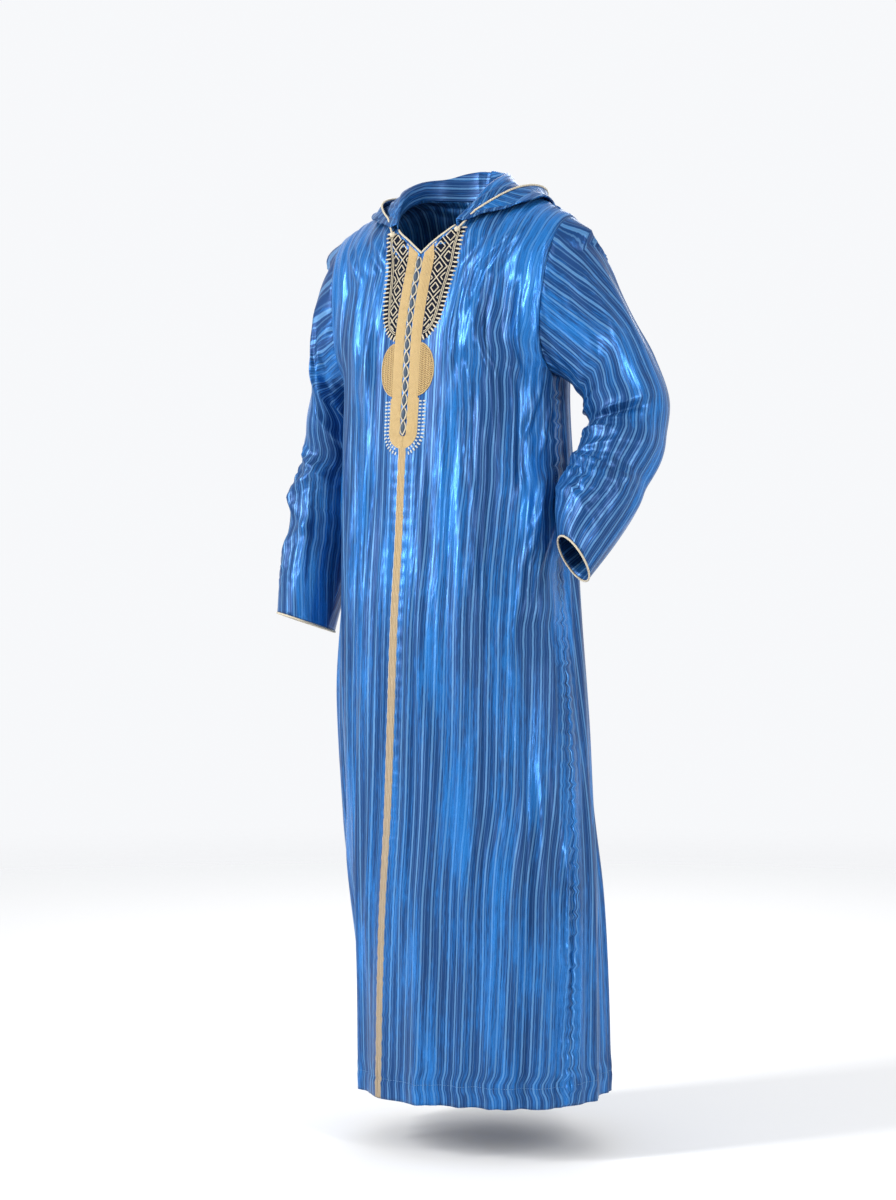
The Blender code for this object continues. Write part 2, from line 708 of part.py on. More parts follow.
def neck_seam(body, side):
    """Points of the hood's seam on one half of the neckline, knot to nape."""
    front = body[("front", side)][LOWER_ROWS + CHEST_ROWS + KNOT_ROW:, 0]
    nape_row = LOWER_ROWS + UPPER_ROWS - BACK_NECK_ROWS
    back = body[("back", side)][nape_row:, 0]
    return np.concatenate([front, back[::-1][1:]])


def body_surface(body, signs):
    """Search tree over the body's outer side, with faces that point out."""
    points = []
    faces = []
    for name, grid in body.items():
        start = len(points)
        points += [Vector(p) for p in grid.reshape(-1, 3)]
        for corners in grid_triangles(grid.shape[:2], False):
            face = tuple(start + k for k in corners)
            faces.append(face if signs[name] > 0.0 else tuple(reversed(face)))
    return BVHTree.FromPolygons(points, faces)


def hood_grid(body, body_tree):
    """Grid of the hood from the left knot round the nape to the right knot, off the shoulders."""
    halves = []
    for side in ("left", "right"):
        mirror = np.array((1.0 if side == "left" else -1.0, 1.0, 1.0))
        half = hood_half(divided(neck_seam(body, side) * mirror, HOOD_STEPS)) * mirror
        halves.append(half if side == "left" else half[:, ::-1][:, 1:])
    hood = np.concatenate(halves, axis=1)
    for row in range(1, hood.shape[0]):
        room = HOOD_ROOM * smooth_step(row / HOOD_ROOM_ROWS)
        for column in range(hood.shape[1]):
            hood[row, column] = kept_off(body_tree, hood[row, column], room)
    return hood


def follow_seam(normals):
    """Lets the hood's seam points between two neckline points follow those two."""
    for column in range(normals.shape[1]):
        rest = column % HOOD_STEPS
        if rest:
            before = normals[0, column - rest]
            after = normals[0, column - rest + HOOD_STEPS]
            normals[0, column] = before + (after - before) * rest / HOOD_STEPS
    return normals


def front_shifts(grid, normals, side):
    """Seam gaps of a front panel, with its pocket slit, its lip and its hem vent."""
    opening = np.array([side_opening(height, side) for height in grid[:, -1, 2]])
    edges = {"first_column": None, "last_column": opening, "last_row": None}
    shifts = seam_shifts(grid, normals, edges)
    for row in range(grid.shape[0]):
        for column in range(grid.shape[1]):
            around = quarter_around("front", side, column)
            lift = lip_height(side, around, grid[row, column, 2])
            shifts[row, column] += normals[row, column] * lift
    return shifts


def back_shifts(grid, normals, side):
    """Seam gaps of one half of the back panel; its middle is cut only above the nape."""
    nape_row = LOWER_ROWS + UPPER_ROWS - BACK_NECK_ROWS
    opening = np.array([side_opening(height, side) for height in grid[:, -1, 2]])
    shifts = seam_shifts(grid, normals, {"last_column": opening, "last_row": None})
    neck = drawn_in(grid, normals, np.full(grid.shape[0], HALF_SEAM), "first_column")
    neck[:nape_row] = 0.0
    neck[nape_row, 0] = (0.0, 0.0, -HALF_SEAM)
    return shifts + neck


def build_cloth(body, signs):
    """Walls of the panels, sleeves and hood; returns the sleeves and the hood for the trims."""
    body_tree = body_surface(body, signs)
    sleeves = {side: sleeve_grid(side, armhole_ring(body, side), body_tree) for side in ("left", "right")}
    hood = hood_grid(body, body_tree)
    names = list(body)
    quarters = [(body[name], False, signs[name]) for name in names]
    sleeve_signs = {"left": 1.0, "right": -1.0}
    tubes = [(sleeves[side], True, sign) for side, sign in sleeve_signs.items()]
    grids = quarters + tubes + [(hood, False, 1.0)]
    normals = shared_normals([quarters] + [[grid] for grid in grids[len(quarters):]])
    longer = [mitred(grid, normal, closed, sign) for (grid, closed, sign), normal in zip(grids, normals)]
    body_normals = dict(zip(names, longer))
    sleeve_normals = dict(zip(sleeve_signs, longer[len(quarters):]))

    for side in ("left", "right"):
        name = ("front", side)
        outer = body[name] + front_shifts(body[name], body_normals[name], side)
        inner = outer - CLOTH * body_normals[name]
        add_wall("front_" + side, [(outer, inner, False, signs[name])], "satin", SATIN_ROUGHNESS)

    patches = []
    for side in ("left", "right"):
        name = ("back", side)
        outer = body[name] + back_shifts(body[name], body_normals[name], side)
        patches.append((outer, outer - CLOTH * body_normals[name], False, signs[name]))
    add_wall("back", patches, "satin", SATIN_ROUGHNESS)

    for side, sign in sleeve_signs.items():
        facing = sleeve_normals[side]
        outer = sleeves[side] + seam_shifts(sleeves[side], facing, {"first_row": None}, True)
        inner = outer - CLOTH * facing
        add_wall("sleeve_" + side, [(outer, inner, True, sign)], "satin", SATIN_ROUGHNESS)

    hood_normals = follow_seam(longer[-1])
    outer = hood + seam_shifts(hood, hood_normals, {"first_row": None})
    inner = outer - CLOTH * hood_normals
    add_wall("hood", [(outer, inner, False, 1.0)], "satin", SATIN_ROUGHNESS)
    return sleeves, hood


class FrontSurface:
    """Finds points on the two front panels by side place and height."""

    def __init__(self, body, signs):
        fronts = {name: grid for name, grid in body.items() if name[0] == "front"}
        self.tree = body_surface(fronts, signs)
        self.middle = body[("front", "left")][:LOWER_ROWS + CHEST_ROWS + 1, 0]

    def centre(self, height):
        """Side place of the middle line at a height."""
        return float(np.interp(height, self.middle[:, 2], self.middle[:, 0]))

    def point(self, out, height, lift):
        """Point over the cloth at a distance out from the middle line."""
        start = Vector((self.centre(height) + out, IN_FRONT, height))
        place, normal, face, distance = self.tree.ray_cast(start, Vector((0.0, 1.0, 0.0)))
        return np.array(place) + np.array(normal) * lift


def filled_rows(table, step):
    """The table's rows with more between them, none further apart than a step."""
    rows = [table[0]]
    for start, end in zip(table[:-1], table[1:]):
        parts = max(1, math.ceil((end[0] - start[0]) / step))
        for k in range(1, parts + 1):
            rows.append(tuple(a + (b - a) * k / parts for a, b in zip(start, end)))
    return rows


def add_field(name, surface, mirror, table, columns, colour):
    """Embroidered field of one half between two edges, raised over the cloth."""
    tops = []
    backs = []
    for height, inner, outer in filled_rows(table, FIELD_STEP):
        places = np.linspace(inner, outer, columns + 1) * mirror
        tops.append([surface.point(place, height, TRIM_GAP + THREAD_RELIEF) for place in places])
        backs.append([surface.point(place, height, TRIM_GAP) for place in places])
    add_wall(name, [(np.array(tops), np.array(backs), False, mirror)], colour, THREAD_ROUGHNESS)


def build_trims(surface, body, sleeves, hood):
    """Bands, embroidered fields, lacing, braid, piping and knots."""
    for side, mirror in (("left", 1.0), ("right", -1.0)):
        for field, (table, columns, colour) in FIELDS.items():
            add_field(field + "_" + side, surface, mirror, table, columns, colour)

    for number in range(LACE_EYES):
        height = LACE_FIRST - number * LACE_PITCH
        place = surface.point(0.0, height, EYE_RELIEF + TRIM_GAP)
        add_bead("eye_%02d" % (number + 1), place, (EYE_HALF_WIDTH, EYE_RELIEF, EYE_HALF_HEIGHT), "slate")
    for side, start in (("left", 1.0), ("right", -1.0)):
        points = []
        for step in range(LACE_EYES * LACE_STEPS + 1):
            turn = step / LACE_STEPS
            height = LACE_FIRST + (0.5 - turn) * LACE_PITCH
            swing = math.sin(math.pi * turn)
            over = 0.5 - 0.5 * start * math.cos(math.pi * turn)
            lift = TRIM_GAP + LACE_RADIUS + over * (2.0 * LACE_RADIUS + TRIM_GAP) * (1.0 - abs(swing))
            points.append(surface.point(start * LACE_SWING * swing, height, lift))
        add_cord("lace_" + side, points, LACE_RADIUS, False, "cream")

    rows = []
    backs = []
    for step in range(BRAID_STEPS + 1):
        height = HEM + BRAID_HEM_GAP + (BRAID_TOP - HEM - BRAID_HEM_GAP) * step / BRAID_STEPS
        places = (-BRAID_HALF_WIDTH, 0.0, BRAID_HALF_WIDTH)
        rows.append([surface.point(p, height, TRIM_GAP + BRAID_RELIEF) for p in places])
        backs.append([surface.point(p, height, TRIM_GAP) for p in places])
    add_wall("front_braid", [(np.array(rows), np.array(backs), False, 1.0)], "gold", THREAD_ROUGHNESS)

    reach = PIPING_RADIUS + TRIM_GAP
    rim = hood[-1] + np.array([unit(d) for d in hood[-1] - hood[-2]]) * reach
    add_cord("hood_piping", rim[2:-2], PIPING_RADIUS, False, "cream")
    knot_row = LOWER_ROWS + CHEST_ROWS + KNOT_ROW
    line = []
    for side in ("left", "right"):
        grid = body[("front", side)]
        rows = range(LOWER_ROWS + CHEST_ROWS, knot_row + 1)
        edge = [grid[r, 0] + unit(grid[r, 0] - grid[r, 1]) * reach for r in rows]
        edge[0] = grid[LOWER_ROWS + CHEST_ROWS, 0] + np.array((0.0, 0.0, reach * PIPING_DIP))
        edge[-1] = edge[-2] + (edge[-1] - edge[-2]) * PIPING_END
        line = edge[::-1] + line[1:] if side == "left" else line + edge[1:]
    add_cord("neck_piping", line, PIPING_RADIUS, False, "cream")
    for side, mirror in (("left", 1.0), ("right", -1.0)):
        place = surface.point(KNOT_OUT * mirror, KNOT_HEIGHT, KNOT_RADIUS + TRIM_GAP)
        add_bead("hood_knot_" + side, place, (KNOT_RADIUS, KNOT_RADIUS, KNOT_RADIUS), "cream")
        rings = sleeves[side]
        cuff = [last + unit(last - before) * reach for last, before in zip(rings[-1], rings[-2])]
        add_cord("cuff_piping_" + side, cuff, PIPING_RADIUS, True, "cream")


def main():
    """Builds the whole thobe."""
    clear_scene()
    collection = bpy.data.collections.new("hooded_thobe")
    bpy.context.scene.collection.children.link(collection)
    body, signs = build_body()
    sleeves, hood = build_cloth(body, signs)
    build_trims(FrontSurface(body, signs), body, sleeves, hood)


main()
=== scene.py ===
# %% [markdown]
# # A hooded thobe in striped satin
# A thobe is a long, loose robe with a hood. This one is shown worn but empty: the cloth keeps the folds
# that it has on a body. We start from the plain solid model of it, the frame, which gives the outline and
# the sizes. All that follows dresses that frame: finer cloth, folds, stripes, embroidery and cords.

# %% Load the frame
import itertools
import json
import math
import random

import bmesh
import bpy
import numpy as np
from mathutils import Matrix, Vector
from mathutils.bvhtree import BVHTree

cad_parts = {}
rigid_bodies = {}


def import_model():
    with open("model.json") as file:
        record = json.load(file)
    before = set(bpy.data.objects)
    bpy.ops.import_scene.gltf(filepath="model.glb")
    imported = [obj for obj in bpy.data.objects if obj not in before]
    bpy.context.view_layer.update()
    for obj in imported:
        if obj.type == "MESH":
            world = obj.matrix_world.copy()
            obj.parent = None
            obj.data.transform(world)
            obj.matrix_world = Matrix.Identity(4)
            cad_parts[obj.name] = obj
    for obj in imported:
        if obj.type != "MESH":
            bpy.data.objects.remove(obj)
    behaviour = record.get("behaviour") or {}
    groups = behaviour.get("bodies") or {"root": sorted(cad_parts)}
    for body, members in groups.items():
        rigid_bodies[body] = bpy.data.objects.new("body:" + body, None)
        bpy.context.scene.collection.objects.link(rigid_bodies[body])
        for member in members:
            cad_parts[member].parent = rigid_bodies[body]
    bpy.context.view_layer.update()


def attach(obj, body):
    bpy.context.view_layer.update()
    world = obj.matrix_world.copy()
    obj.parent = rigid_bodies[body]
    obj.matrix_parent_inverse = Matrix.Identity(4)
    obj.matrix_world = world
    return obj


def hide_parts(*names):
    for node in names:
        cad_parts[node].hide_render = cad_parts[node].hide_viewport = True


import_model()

# %% [markdown]
# ## The worn shape in tables
# A tailor works from a short list of measures, and so do we. Each table has a place in its first column and
# measures after it: the body's width and depth at nine heights, the neckline, the big folds, the line of
# each sleeve and the turned-down hood. They are the measures that the frame was made from, so the fine
# cloth lies where the solid cloth lies.

# %% Measures of the body
HEM = -1.39
UNDERARM = -0.263
SHOULDER_TIP = -0.020
SHOULDER_CROWN = 0.010
SHIFT_FADE = 0.150
ARMHOLE_LOW_OUT = 0.186
ARMHOLE_TOP_OUT = 0.210
ARMHOLE_DEPTH = 0.073
LOWER_ROWS = 20
CHEST_ROWS = 5
KNOT_ROW = 2
BACK_NECK_ROWS = 3
UPPER_ROWS = 10
SQUARENESS_PACE = 1.1
# height, half width, half depth, squareness, shift to the side, shift back, turn in degrees
BODY_SECTIONS = (
    (-1.390, 0.225, 0.202, 1.50, 0.032, 0.022, -22.0),
    (-1.220, 0.222, 0.202, 1.50, 0.027, 0.018, -18.0),
    (-1.080, 0.221, 0.197, 1.55, 0.018, 0.012, -13.0),
    (-0.950, 0.216, 0.187, 1.60, 0.008, 0.006, -8.0),
    (-0.800, 0.210, 0.178, 1.70, 0.002, 0.001, -5.0),
    (-0.630, 0.201, 0.163, 1.85, 0.000, -0.006, -4.0),
    (-0.530, 0.195, 0.154, 2.00, -0.001, -0.008, -3.0),
    (-0.390, 0.192, 0.149, 2.10, -0.002, -0.009, -1.0),
    (-0.263, 0.186, 0.143, 2.20, 0.000, -0.010, 0.0),
)
# height, middle of the front, middle of the back
MIDDLE_LINE = (
    (-0.263, -0.143, 0.143), (-0.174, -0.1375, 0.1245), (-0.120, -0.127, 0.110),
    (-0.075, -0.112, 0.098), (0.030, -0.080, 0.066),
)
# neckline point number, out, back, height
FRONT_NECKLINE = (
    (0, 0.000, -0.112, -0.075), (1, 0.027, -0.107, -0.053), (2, 0.055, -0.095, -0.032),
    (3, 0.072, -0.065, -0.008), (4, 0.080, -0.028, 0.014), (5, 0.080, 0.010, 0.030),
)
BACK_NECKLINE = (
    (0, 0.000, 0.066, 0.030), (1, 0.032, 0.060, 0.031), (2, 0.060, 0.042, 0.032), (3, 0.080, 0.010, 0.030),
)
SIDES = {"left": 1.0, "right": -1.0}
print("body:", len(BODY_SECTIONS), "sections from", HEM, "to", UNDERARM, "m")

# %% [markdown]
# ### Folds
# A fold starts where something holds the cloth, at the chest, the elbow or the hip, and falls from there. So
# each fold of the tables has a place round the body and two heights between which it runs.

# %% Measures of the folds
# around (0 middle front, 0.5 side seam, 1 middle back, minus on the right), drift, top, bottom, width
# and depth
BIG_FOLDS = (
    (0.09, 0.03, -0.42, -1.45, 0.030, 0.009), (0.20, -0.01, -0.36, -1.10, 0.035, 0.010),
    (0.31, 0.02, -0.50, -1.45, 0.032, 0.012), (0.42, -0.03, -0.40, -0.72, 0.060, 0.016),
    (0.26, -0.10, -0.02, -0.34, 0.045, 0.010), (0.40, 0.02, -0.85, -1.45, 0.028, 0.010),
    (-0.10, -0.02, -0.40, -1.45, 0.030, 0.009), (-0.22, 0.01, -0.34, -1.20, 0.035, 0.010),
    (-0.33, -0.02, -0.55, -1.45, 0.032, 0.012), (-0.42, 0.02, -0.70, -1.45, 0.030, 0.010),
    (-0.27, 0.10, -0.02, -0.34, 0.045, 0.009), (0.60, 0.02, -0.30, -1.45, 0.035, 0.011),
    (0.74, -0.02, -0.34, -1.45, 0.035, 0.012), (0.90, 0.02, -0.40, -1.45, 0.035, 0.011),
    (-0.60, 0.02, -0.30, -1.45, 0.035, 0.011), (-0.75, -0.01, -0.36, -1.45, 0.035, 0.012),
    (-0.91, 0.01, -0.40, -1.45, 0.035, 0.011),
)
# the same columns, for the sharper creases that the eye reads as drape
FINE_FOLDS = (
    (0.050, 0.012, -0.47, -1.25, 0.011, 0.0053), (0.072, 0.020, -0.36, -0.92, 0.010, 0.0043),
    (0.132, 0.012, -0.31, -1.02, 0.013, 0.0065), (0.165, -0.006, -0.52, -1.41, 0.011, 0.0047),
    (0.235, 0.002, -0.26, -0.78, 0.013, 0.0068), (0.262, 0.014, -0.55, -1.22, 0.010, 0.0047),
    (0.288, 0.016, -0.66, -1.45, 0.012, 0.0065), (0.350, 0.012, -0.76, -1.45, 0.011, 0.0056),
    (0.375, -0.028, -0.42, -0.66, 0.012, 0.0071), (0.345, -0.020, -0.50, -0.72, 0.010, 0.0056),
    (0.455, -0.012, -0.58, -1.02, 0.009, 0.0050), (0.470, 0.004, -0.86, -1.45, 0.008, 0.0043),
    (0.458, -0.006, -1.15, -1.36, 0.007, 0.0070), (0.480, 0.005, -0.98, -1.24, 0.007, 0.0060),
    (0.330, -0.120, -0.03, -0.26, 0.018, 0.0056), (0.215, -0.085, -0.06, -0.30, 0.014, 0.0050),
    (0.400, -0.050, -0.10, -0.30, 0.016, 0.0062), (0.180, 0.010, -0.22, -0.46, 0.012, 0.0047),
    (-0.055, -0.012, -0.44, -1.30, 0.011, 0.0050), (-0.130, -0.014, -0.34, -1.00, 0.012, 0.0059),
    (-0.170, 0.006, -0.50, -1.45, 0.011, 0.0047), (-0.245, -0.006, -0.28, -0.92, 0.013, 0.0065),
    (-0.290, -0.014, -0.62, -1.45, 0.012, 0.0062), (-0.360, -0.012, -0.52, -1.20, 0.011, 0.0056),
    (-0.400, 0.008, -0.34, -0.86, 0.012, 0.0059), (-0.455, 0.010, -0.60, -1.45, 0.009, 0.0047),
    (-0.340, 0.120, -0.03, -0.26, 0.018, 0.0056), (-0.220, 0.085, -0.06, -0.30, 0.014, 0.0050),
    (0.545, 0.010, -0.36, -1.00, 0.012, 0.0059), (0.640, -0.012, -0.28, -1.20, 0.013, 0.0065),
    (0.690, 0.008, -0.60, -1.45, 0.011, 0.0053), (0.785, 0.012, -0.30, -1.10, 0.013, 0.0062),
    (0.835, -0.006, -0.50, -1.45, 0.011, 0.0050), (0.945, 0.006, -0.34, -1.25, 0.012, 0.0056),
    (-0.545, -0.010, -0.34, -1.05, 0.012, 0.0059), (-0.645, 0.012, -0.30, -1.25, 0.013, 0.0065),
    (-0.700, -0.008, -0.58, -1.45, 0.011, 0.0053), (-0.795, -0.012, -0.32, -1.05, 0.013, 0.0062),
    (-0.850, 0.006, -0.52, -1.45, 0.011, 0.0050), (-0.960, -0.008, -0.36, -1.20, 0.012, 0.0056),
    (0.440, -0.070, -0.41, -0.53, 0.009, 0.0050), (0.425, -0.060, -0.46, -0.57, 0.008, 0.0044),
    (0.455, -0.080, -0.50, -0.60, 0.008, 0.0040), (0.405, -0.050, -0.56, -0.68, 0.009, 0.0040),
    (0.470, -0.050, -0.30, -0.40, 0.008, 0.0036), (0.440, -0.090, -0.27, -0.38, 0.010, 0.0040),
    (0.300, -0.110, -0.02, -0.20, 0.014, 0.0046), (0.250, 0.020, -0.14, -0.40, 0.014, 0.0050),
    (0.200, 0.030, -0.36, -0.62, 0.011, 0.0040), (0.325, 0.010, -0.24, -0.46, 0.012, 0.0040),
    (0.110, 0.020, -0.70, -1.45, 0.016, 0.0060), (0.220, 0.010, -0.90, -1.45, 0.018, 0.0070),
    (0.325, 0.020, -0.95, -1.45, 0.016, 0.0064), (0.435, 0.010, -1.00, -1.45, 0.014, 0.0056),
    (-0.115, -0.016, -0.74, -1.45, 0.016, 0.0060), (-0.230, -0.010, -0.92, -1.45, 0.018, 0.0066),
    (-0.345, -0.014, -0.86, -1.45, 0.016, 0.0060), (-0.500, 0.012, -0.90, -1.45, 0.016, 0.0050),
    (0.580, 0.010, -0.80, -1.45, 0.016, 0.0060), (0.740, -0.014, -0.72, -1.45, 0.018, 0.0066),
    (0.880, 0.012, -0.86, -1.45, 0.016, 0.0060), (-0.600, -0.010, -0.76, -1.45, 0.016, 0.0060),
    (-0.750, 0.014, -0.84, -1.45, 0.018, 0.0066), (-0.900, -0.010, -0.70, -1.45, 0.016, 0.0060),
)
FOLD_END_SHARE = 0.25
FOLD_RISE_SHARE = 0.3
TROUGH_PLACE = 1.8
TROUGH_SHARE = 0.45
print("folds:", len(BIG_FOLDS), "large and", len(FINE_FOLDS), "fine")

# %% [markdown]
# ### Sleeves
# A sleeve is measured along two lines, outer and inner, and by its half width between them. Creases lie
# across it where it bends, pulls run along it where it is stretched, and crumples fill what is left.

# %% Measures of the sleeves
# along, the outer line (out, back, height), the inner line (out, back, height), half the width in front
BENT_SLEEVE = (
    (0.00, 0.210, 0.000, -0.020, 0.186, -0.010, -0.263, 0.073),
    (0.10, 0.245, 0.010, -0.070, 0.196, 0.003, -0.271, 0.072),
    (0.22, 0.273, 0.020, -0.126, 0.205, 0.012, -0.281, 0.070),
    (0.34, 0.299, 0.035, -0.185, 0.213, 0.020, -0.293, 0.067),
    (0.46, 0.325, 0.050, -0.243, 0.219, 0.028, -0.312, 0.064),
    (0.56, 0.344, 0.060, -0.305, 0.222, 0.030, -0.335, 0.062),
    (0.66, 0.343, 0.050, -0.363, 0.221, 0.018, -0.362, 0.060),
    (0.76, 0.337, 0.020, -0.423, 0.218, -0.005, -0.398, 0.060),
    (0.86, 0.331, -0.015, -0.471, 0.212, -0.035, -0.436, 0.058),
    (0.93, 0.316, -0.050, -0.520, 0.215, -0.062, -0.478, 0.054),
    (1.00, 0.291, -0.090, -0.579, 0.235, -0.090, -0.525, 0.045),
)
HANGING_SLEEVE = (
    (0.00, 0.210, 0.000, -0.020, 0.186, -0.010, -0.263, 0.073),
    (0.08, 0.232, 0.000, -0.060, 0.190, -0.006, -0.272, 0.074),
    (0.17, 0.242, 0.002, -0.105, 0.193, 0.000, -0.283, 0.075),
    (0.27, 0.246, 0.006, -0.160, 0.194, 0.005, -0.297, 0.076),
    (0.37, 0.256, 0.012, -0.220, 0.196, 0.010, -0.315, 0.076),
    (0.48, 0.272, 0.018, -0.290, 0.198, 0.014, -0.345, 0.075),
    (0.60, 0.295, 0.020, -0.370, 0.200, 0.014, -0.395, 0.074),
    (0.74, 0.311, 0.002, -0.465, 0.205, 0.000, -0.475, 0.071),
    (0.88, 0.317, -0.028, -0.562, 0.214, -0.028, -0.572, 0.066),
    (1.00, 0.314, -0.045, -0.640, 0.226, -0.047, -0.662, 0.058),
)
# along, slope, length above, length below, facing (0 outer side, 90 front, 180 inside), spread, depth
SLEEVE_CREASES = {
    "left": (
        (0.50, 0.00, 0.050, 0.050, 190.0, 80.0, 0.006), (0.60, 0.00, 0.040, 0.040, 150.0, 70.0, -0.003),
        (0.70, 0.00, 0.045, 0.045, 60.0, 90.0, 0.005), (0.80, 0.00, 0.040, 0.040, 20.0, 90.0, -0.004),
        (0.88, 0.00, 0.035, 0.035, 200.0, 90.0, 0.005), (0.30, 0.00, 0.060, 0.060, 120.0, 70.0, 0.006),
        (0.570, 0.045, 0.050, 0.014, 84.0, 36.0, 0.010), (0.604, 0.045, 0.016, 0.022, 86.0, 34.0, -0.008),
        (0.690, -0.05, 0.020, 0.014, 120.0, 40.0, 0.0058), (0.760, 0.06, 0.020, 0.014, 100.0, 50.0, 0.0065),
        (0.830, -0.07, 0.018, 0.014, 110.0, 55.0, 0.0072), (0.880, 0.08, 0.016, 0.012, 90.0, 50.0, 0.0065),
        (0.925, -0.05, 0.014, 0.012, 100.0, 60.0, 0.0051), (0.430, 0.10, 0.030, 0.016, 150.0, 36.0, 0.0035),
        (0.500, 0.08, 0.026, 0.014, 165.0, 36.0, 0.0035), (0.600, -0.04, 0.030, 0.024, 250.0, 50.0, 0.0072),
    ),
    "right": (
        (0.50, 0.00, 0.060, 0.060, 60.0, 80.0, 0.006), (0.60, 0.00, 0.050, 0.050, 110.0, 80.0, -0.005),
        (0.70, 0.00, 0.060, 0.060, 40.0, 80.0, 0.006), (0.82, 0.00, 0.050, 0.050, 80.0, 90.0, -0.004),
        (0.32, 0.00, 0.060, 0.060, 100.0, 60.0, 0.005),
        (0.620, 0.10, 0.030, 0.016, 70.0, 46.0, 0.0072), (0.690, -0.10, 0.026, 0.016, 85.0, 44.0, 0.0065),
        (0.755, 0.12, 0.026, 0.014, 60.0, 44.0, 0.0065), (0.830, -0.09, 0.024, 0.014, 80.0, 46.0, 0.0058),
        (0.500, 0.12, 0.030, 0.018, 130.0, 36.0, 0.0065), (0.640, 0.05, 0.030, 0.020, 260.0, 50.0, 0.0058),
    ),
}
# facing at the start and the end, along at the start and the end, width in degrees, depth
SLEEVE_PULLS = {
    "left": (
        (60.0, 110.0, 0.02, 0.50, 9.0, 0.0034), (80.0, 135.0, 0.03, 0.55, 9.0, 0.0036),
        (104.0, 155.0, 0.02, 0.56, 10.0, 0.0040), (128.0, 172.0, 0.03, 0.52, 10.0, 0.0036),
        (36.0, 62.0, 0.05, 0.42, 9.0, 0.0026), (8.0, 26.0, 0.10, 0.52, 10.0, 0.0024),
        (-30.0, -20.0, 0.05, 0.60, 12.0, 0.0030), (-75.0, -60.0, 0.03, 0.56, 12.0, 0.0034),
        (-120.0, -100.0, 0.03, 0.50, 12.0, 0.0034), (40.0, 50.0, 0.62, 0.96, 10.0, 0.0030),
        (75.0, 88.0, 0.64, 0.98, 10.0, 0.0030), (-10.0, 4.0, 0.64, 0.97, 11.0, 0.0028),
    ),
    "right": (
        (60.0, 100.0, 0.02, 0.46, 10.0, 0.0032), (92.0, 126.0, 0.03, 0.52, 10.0, 0.0036),
        (126.0, 156.0, 0.03, 0.48, 10.0, 0.0034), (28.0, 44.0, 0.05, 0.60, 11.0, 0.0030),
        (-6.0, 6.0, 0.08, 0.80, 11.0, 0.0026), (-50.0, -38.0, 0.05, 0.70, 12.0, 0.0032),
        (-95.0, -84.0, 0.04, 0.60, 12.0, 0.0032), (55.0, 66.0, 0.66, 0.97, 10.0, 0.0028),
        (100.0, 112.0, 0.68, 0.98, 10.0, 0.0028),
    ),
}
# along, facing, reach along, reach round, height
SLEEVE_CRUMPLES = {
    "left": ((0.86, 100.0, 0.070, 50.0, 0.0040), (0.68, 120.0, 0.050, 40.0, 0.0016)),
    "right": ((0.66, 75.0, 0.080, 50.0, 0.0022), (0.90, 60.0, 0.050, 45.0, 0.0014)),
}
PULL_TROUGH = 0.5
PULL_TROUGH_PLACE = 1.7
SEAM_FADE = 0.35
CUFF_FADE = 0.06
# waves along and round the sleeve: crumples, their breaks, the crumples across them
CRUMPLE_WAVES = ((170.0, 5.0), (-60.0, 9.0), (110.0, 11.0))
CROSS_SHARE = 0.6
GATHERS = 17.0
GATHER_HEIGHT = 0.0022
GATHER_REACH = 0.07
GATHER_START = 0.02
CAP_END = 0.35
CAP_BLEND = 0.10
SLEEVE_RINGS = 132
CAP_RINGS = int(CAP_END * SLEEVE_RINGS)
RING_STEP = 0.02
SLEEVE_ROOM = 0.006
ROOM_FROM = 0.07
ROOM_REACH = 0.05
for side in SIDES:
    print(side, "sleeve:", len(SLEEVE_CREASES[side]), "creases,", len(SLEEVE_PULLS[side]), "pulls")

# %% [markdown]
# ### Hood
# The hood is measured on rays that leave the neckline one after another, from the knot to the nape. On each
# ray four points say how far out and up the cloth goes.

# %% Measures of the hood
# round (0 knot, 1 nape), facing in degrees, then out and up from the seam of the ridge, gutter, turn
# and rim
HOOD_STATIONS = (
    (0.00, 95.0, 0.002, 0.006, 0.007, 0.003, 0.011, 0.002, 0.010, 0.008),
    (0.20, 84.0, 0.003, 0.024, 0.028, 0.006, 0.046, -0.004, 0.038, 0.016),
    (0.35, 84.0, 0.004, 0.030, 0.044, 0.002, 0.070, -0.010, 0.048, 0.016),
    (0.50, 98.0, 0.005, 0.032, 0.052, 0.000, 0.082, -0.016, 0.052, 0.012),
    (0.60, 114.0, 0.006, 0.032, 0.050, -0.018, 0.082, -0.030, 0.058, 0.012),
    (0.70, 132.0, 0.008, 0.032, 0.066, -0.064, 0.090, -0.072, 0.074, 0.008),
    (0.84, 158.0, 0.010, 0.034, 0.088, -0.170, 0.112, -0.176, 0.096, 0.000),
    (1.00, 180.0, 0.012, 0.036, 0.102, -0.270, 0.128, -0.280, 0.116, -0.008),
)
HOOD_ROOM = 0.008
HOOD_ROOM_SHARE = 0.25
HOOD_ROWS = 60
HOOD_TURNS = 4
HOOD_EASE_SHARE = 0.12
HOOD_EASE_TURNS = 90
HOOD_WRINKLE = 0.0011
HOOD_CUT_SHARE = 0.8
print("hood:", len(HOOD_STATIONS), "stations from knot to nape")

# %% [markdown]
# ## Smooth curves through the tables
# A table holds a few places; cloth needs hundreds. A Hermite curve passes through every row of a table and
# is smooth between them, like a flexible rule held by pins. Working on whole arrays at once keeps the
# script quick.

# %% Curves through tables
def smooth(value):
    """0 below 0, 1 above 1 and a soft rise between."""
    value = np.clip(value, 0.0, 1.0)
    return value * value * (3.0 - 2.0 * value)


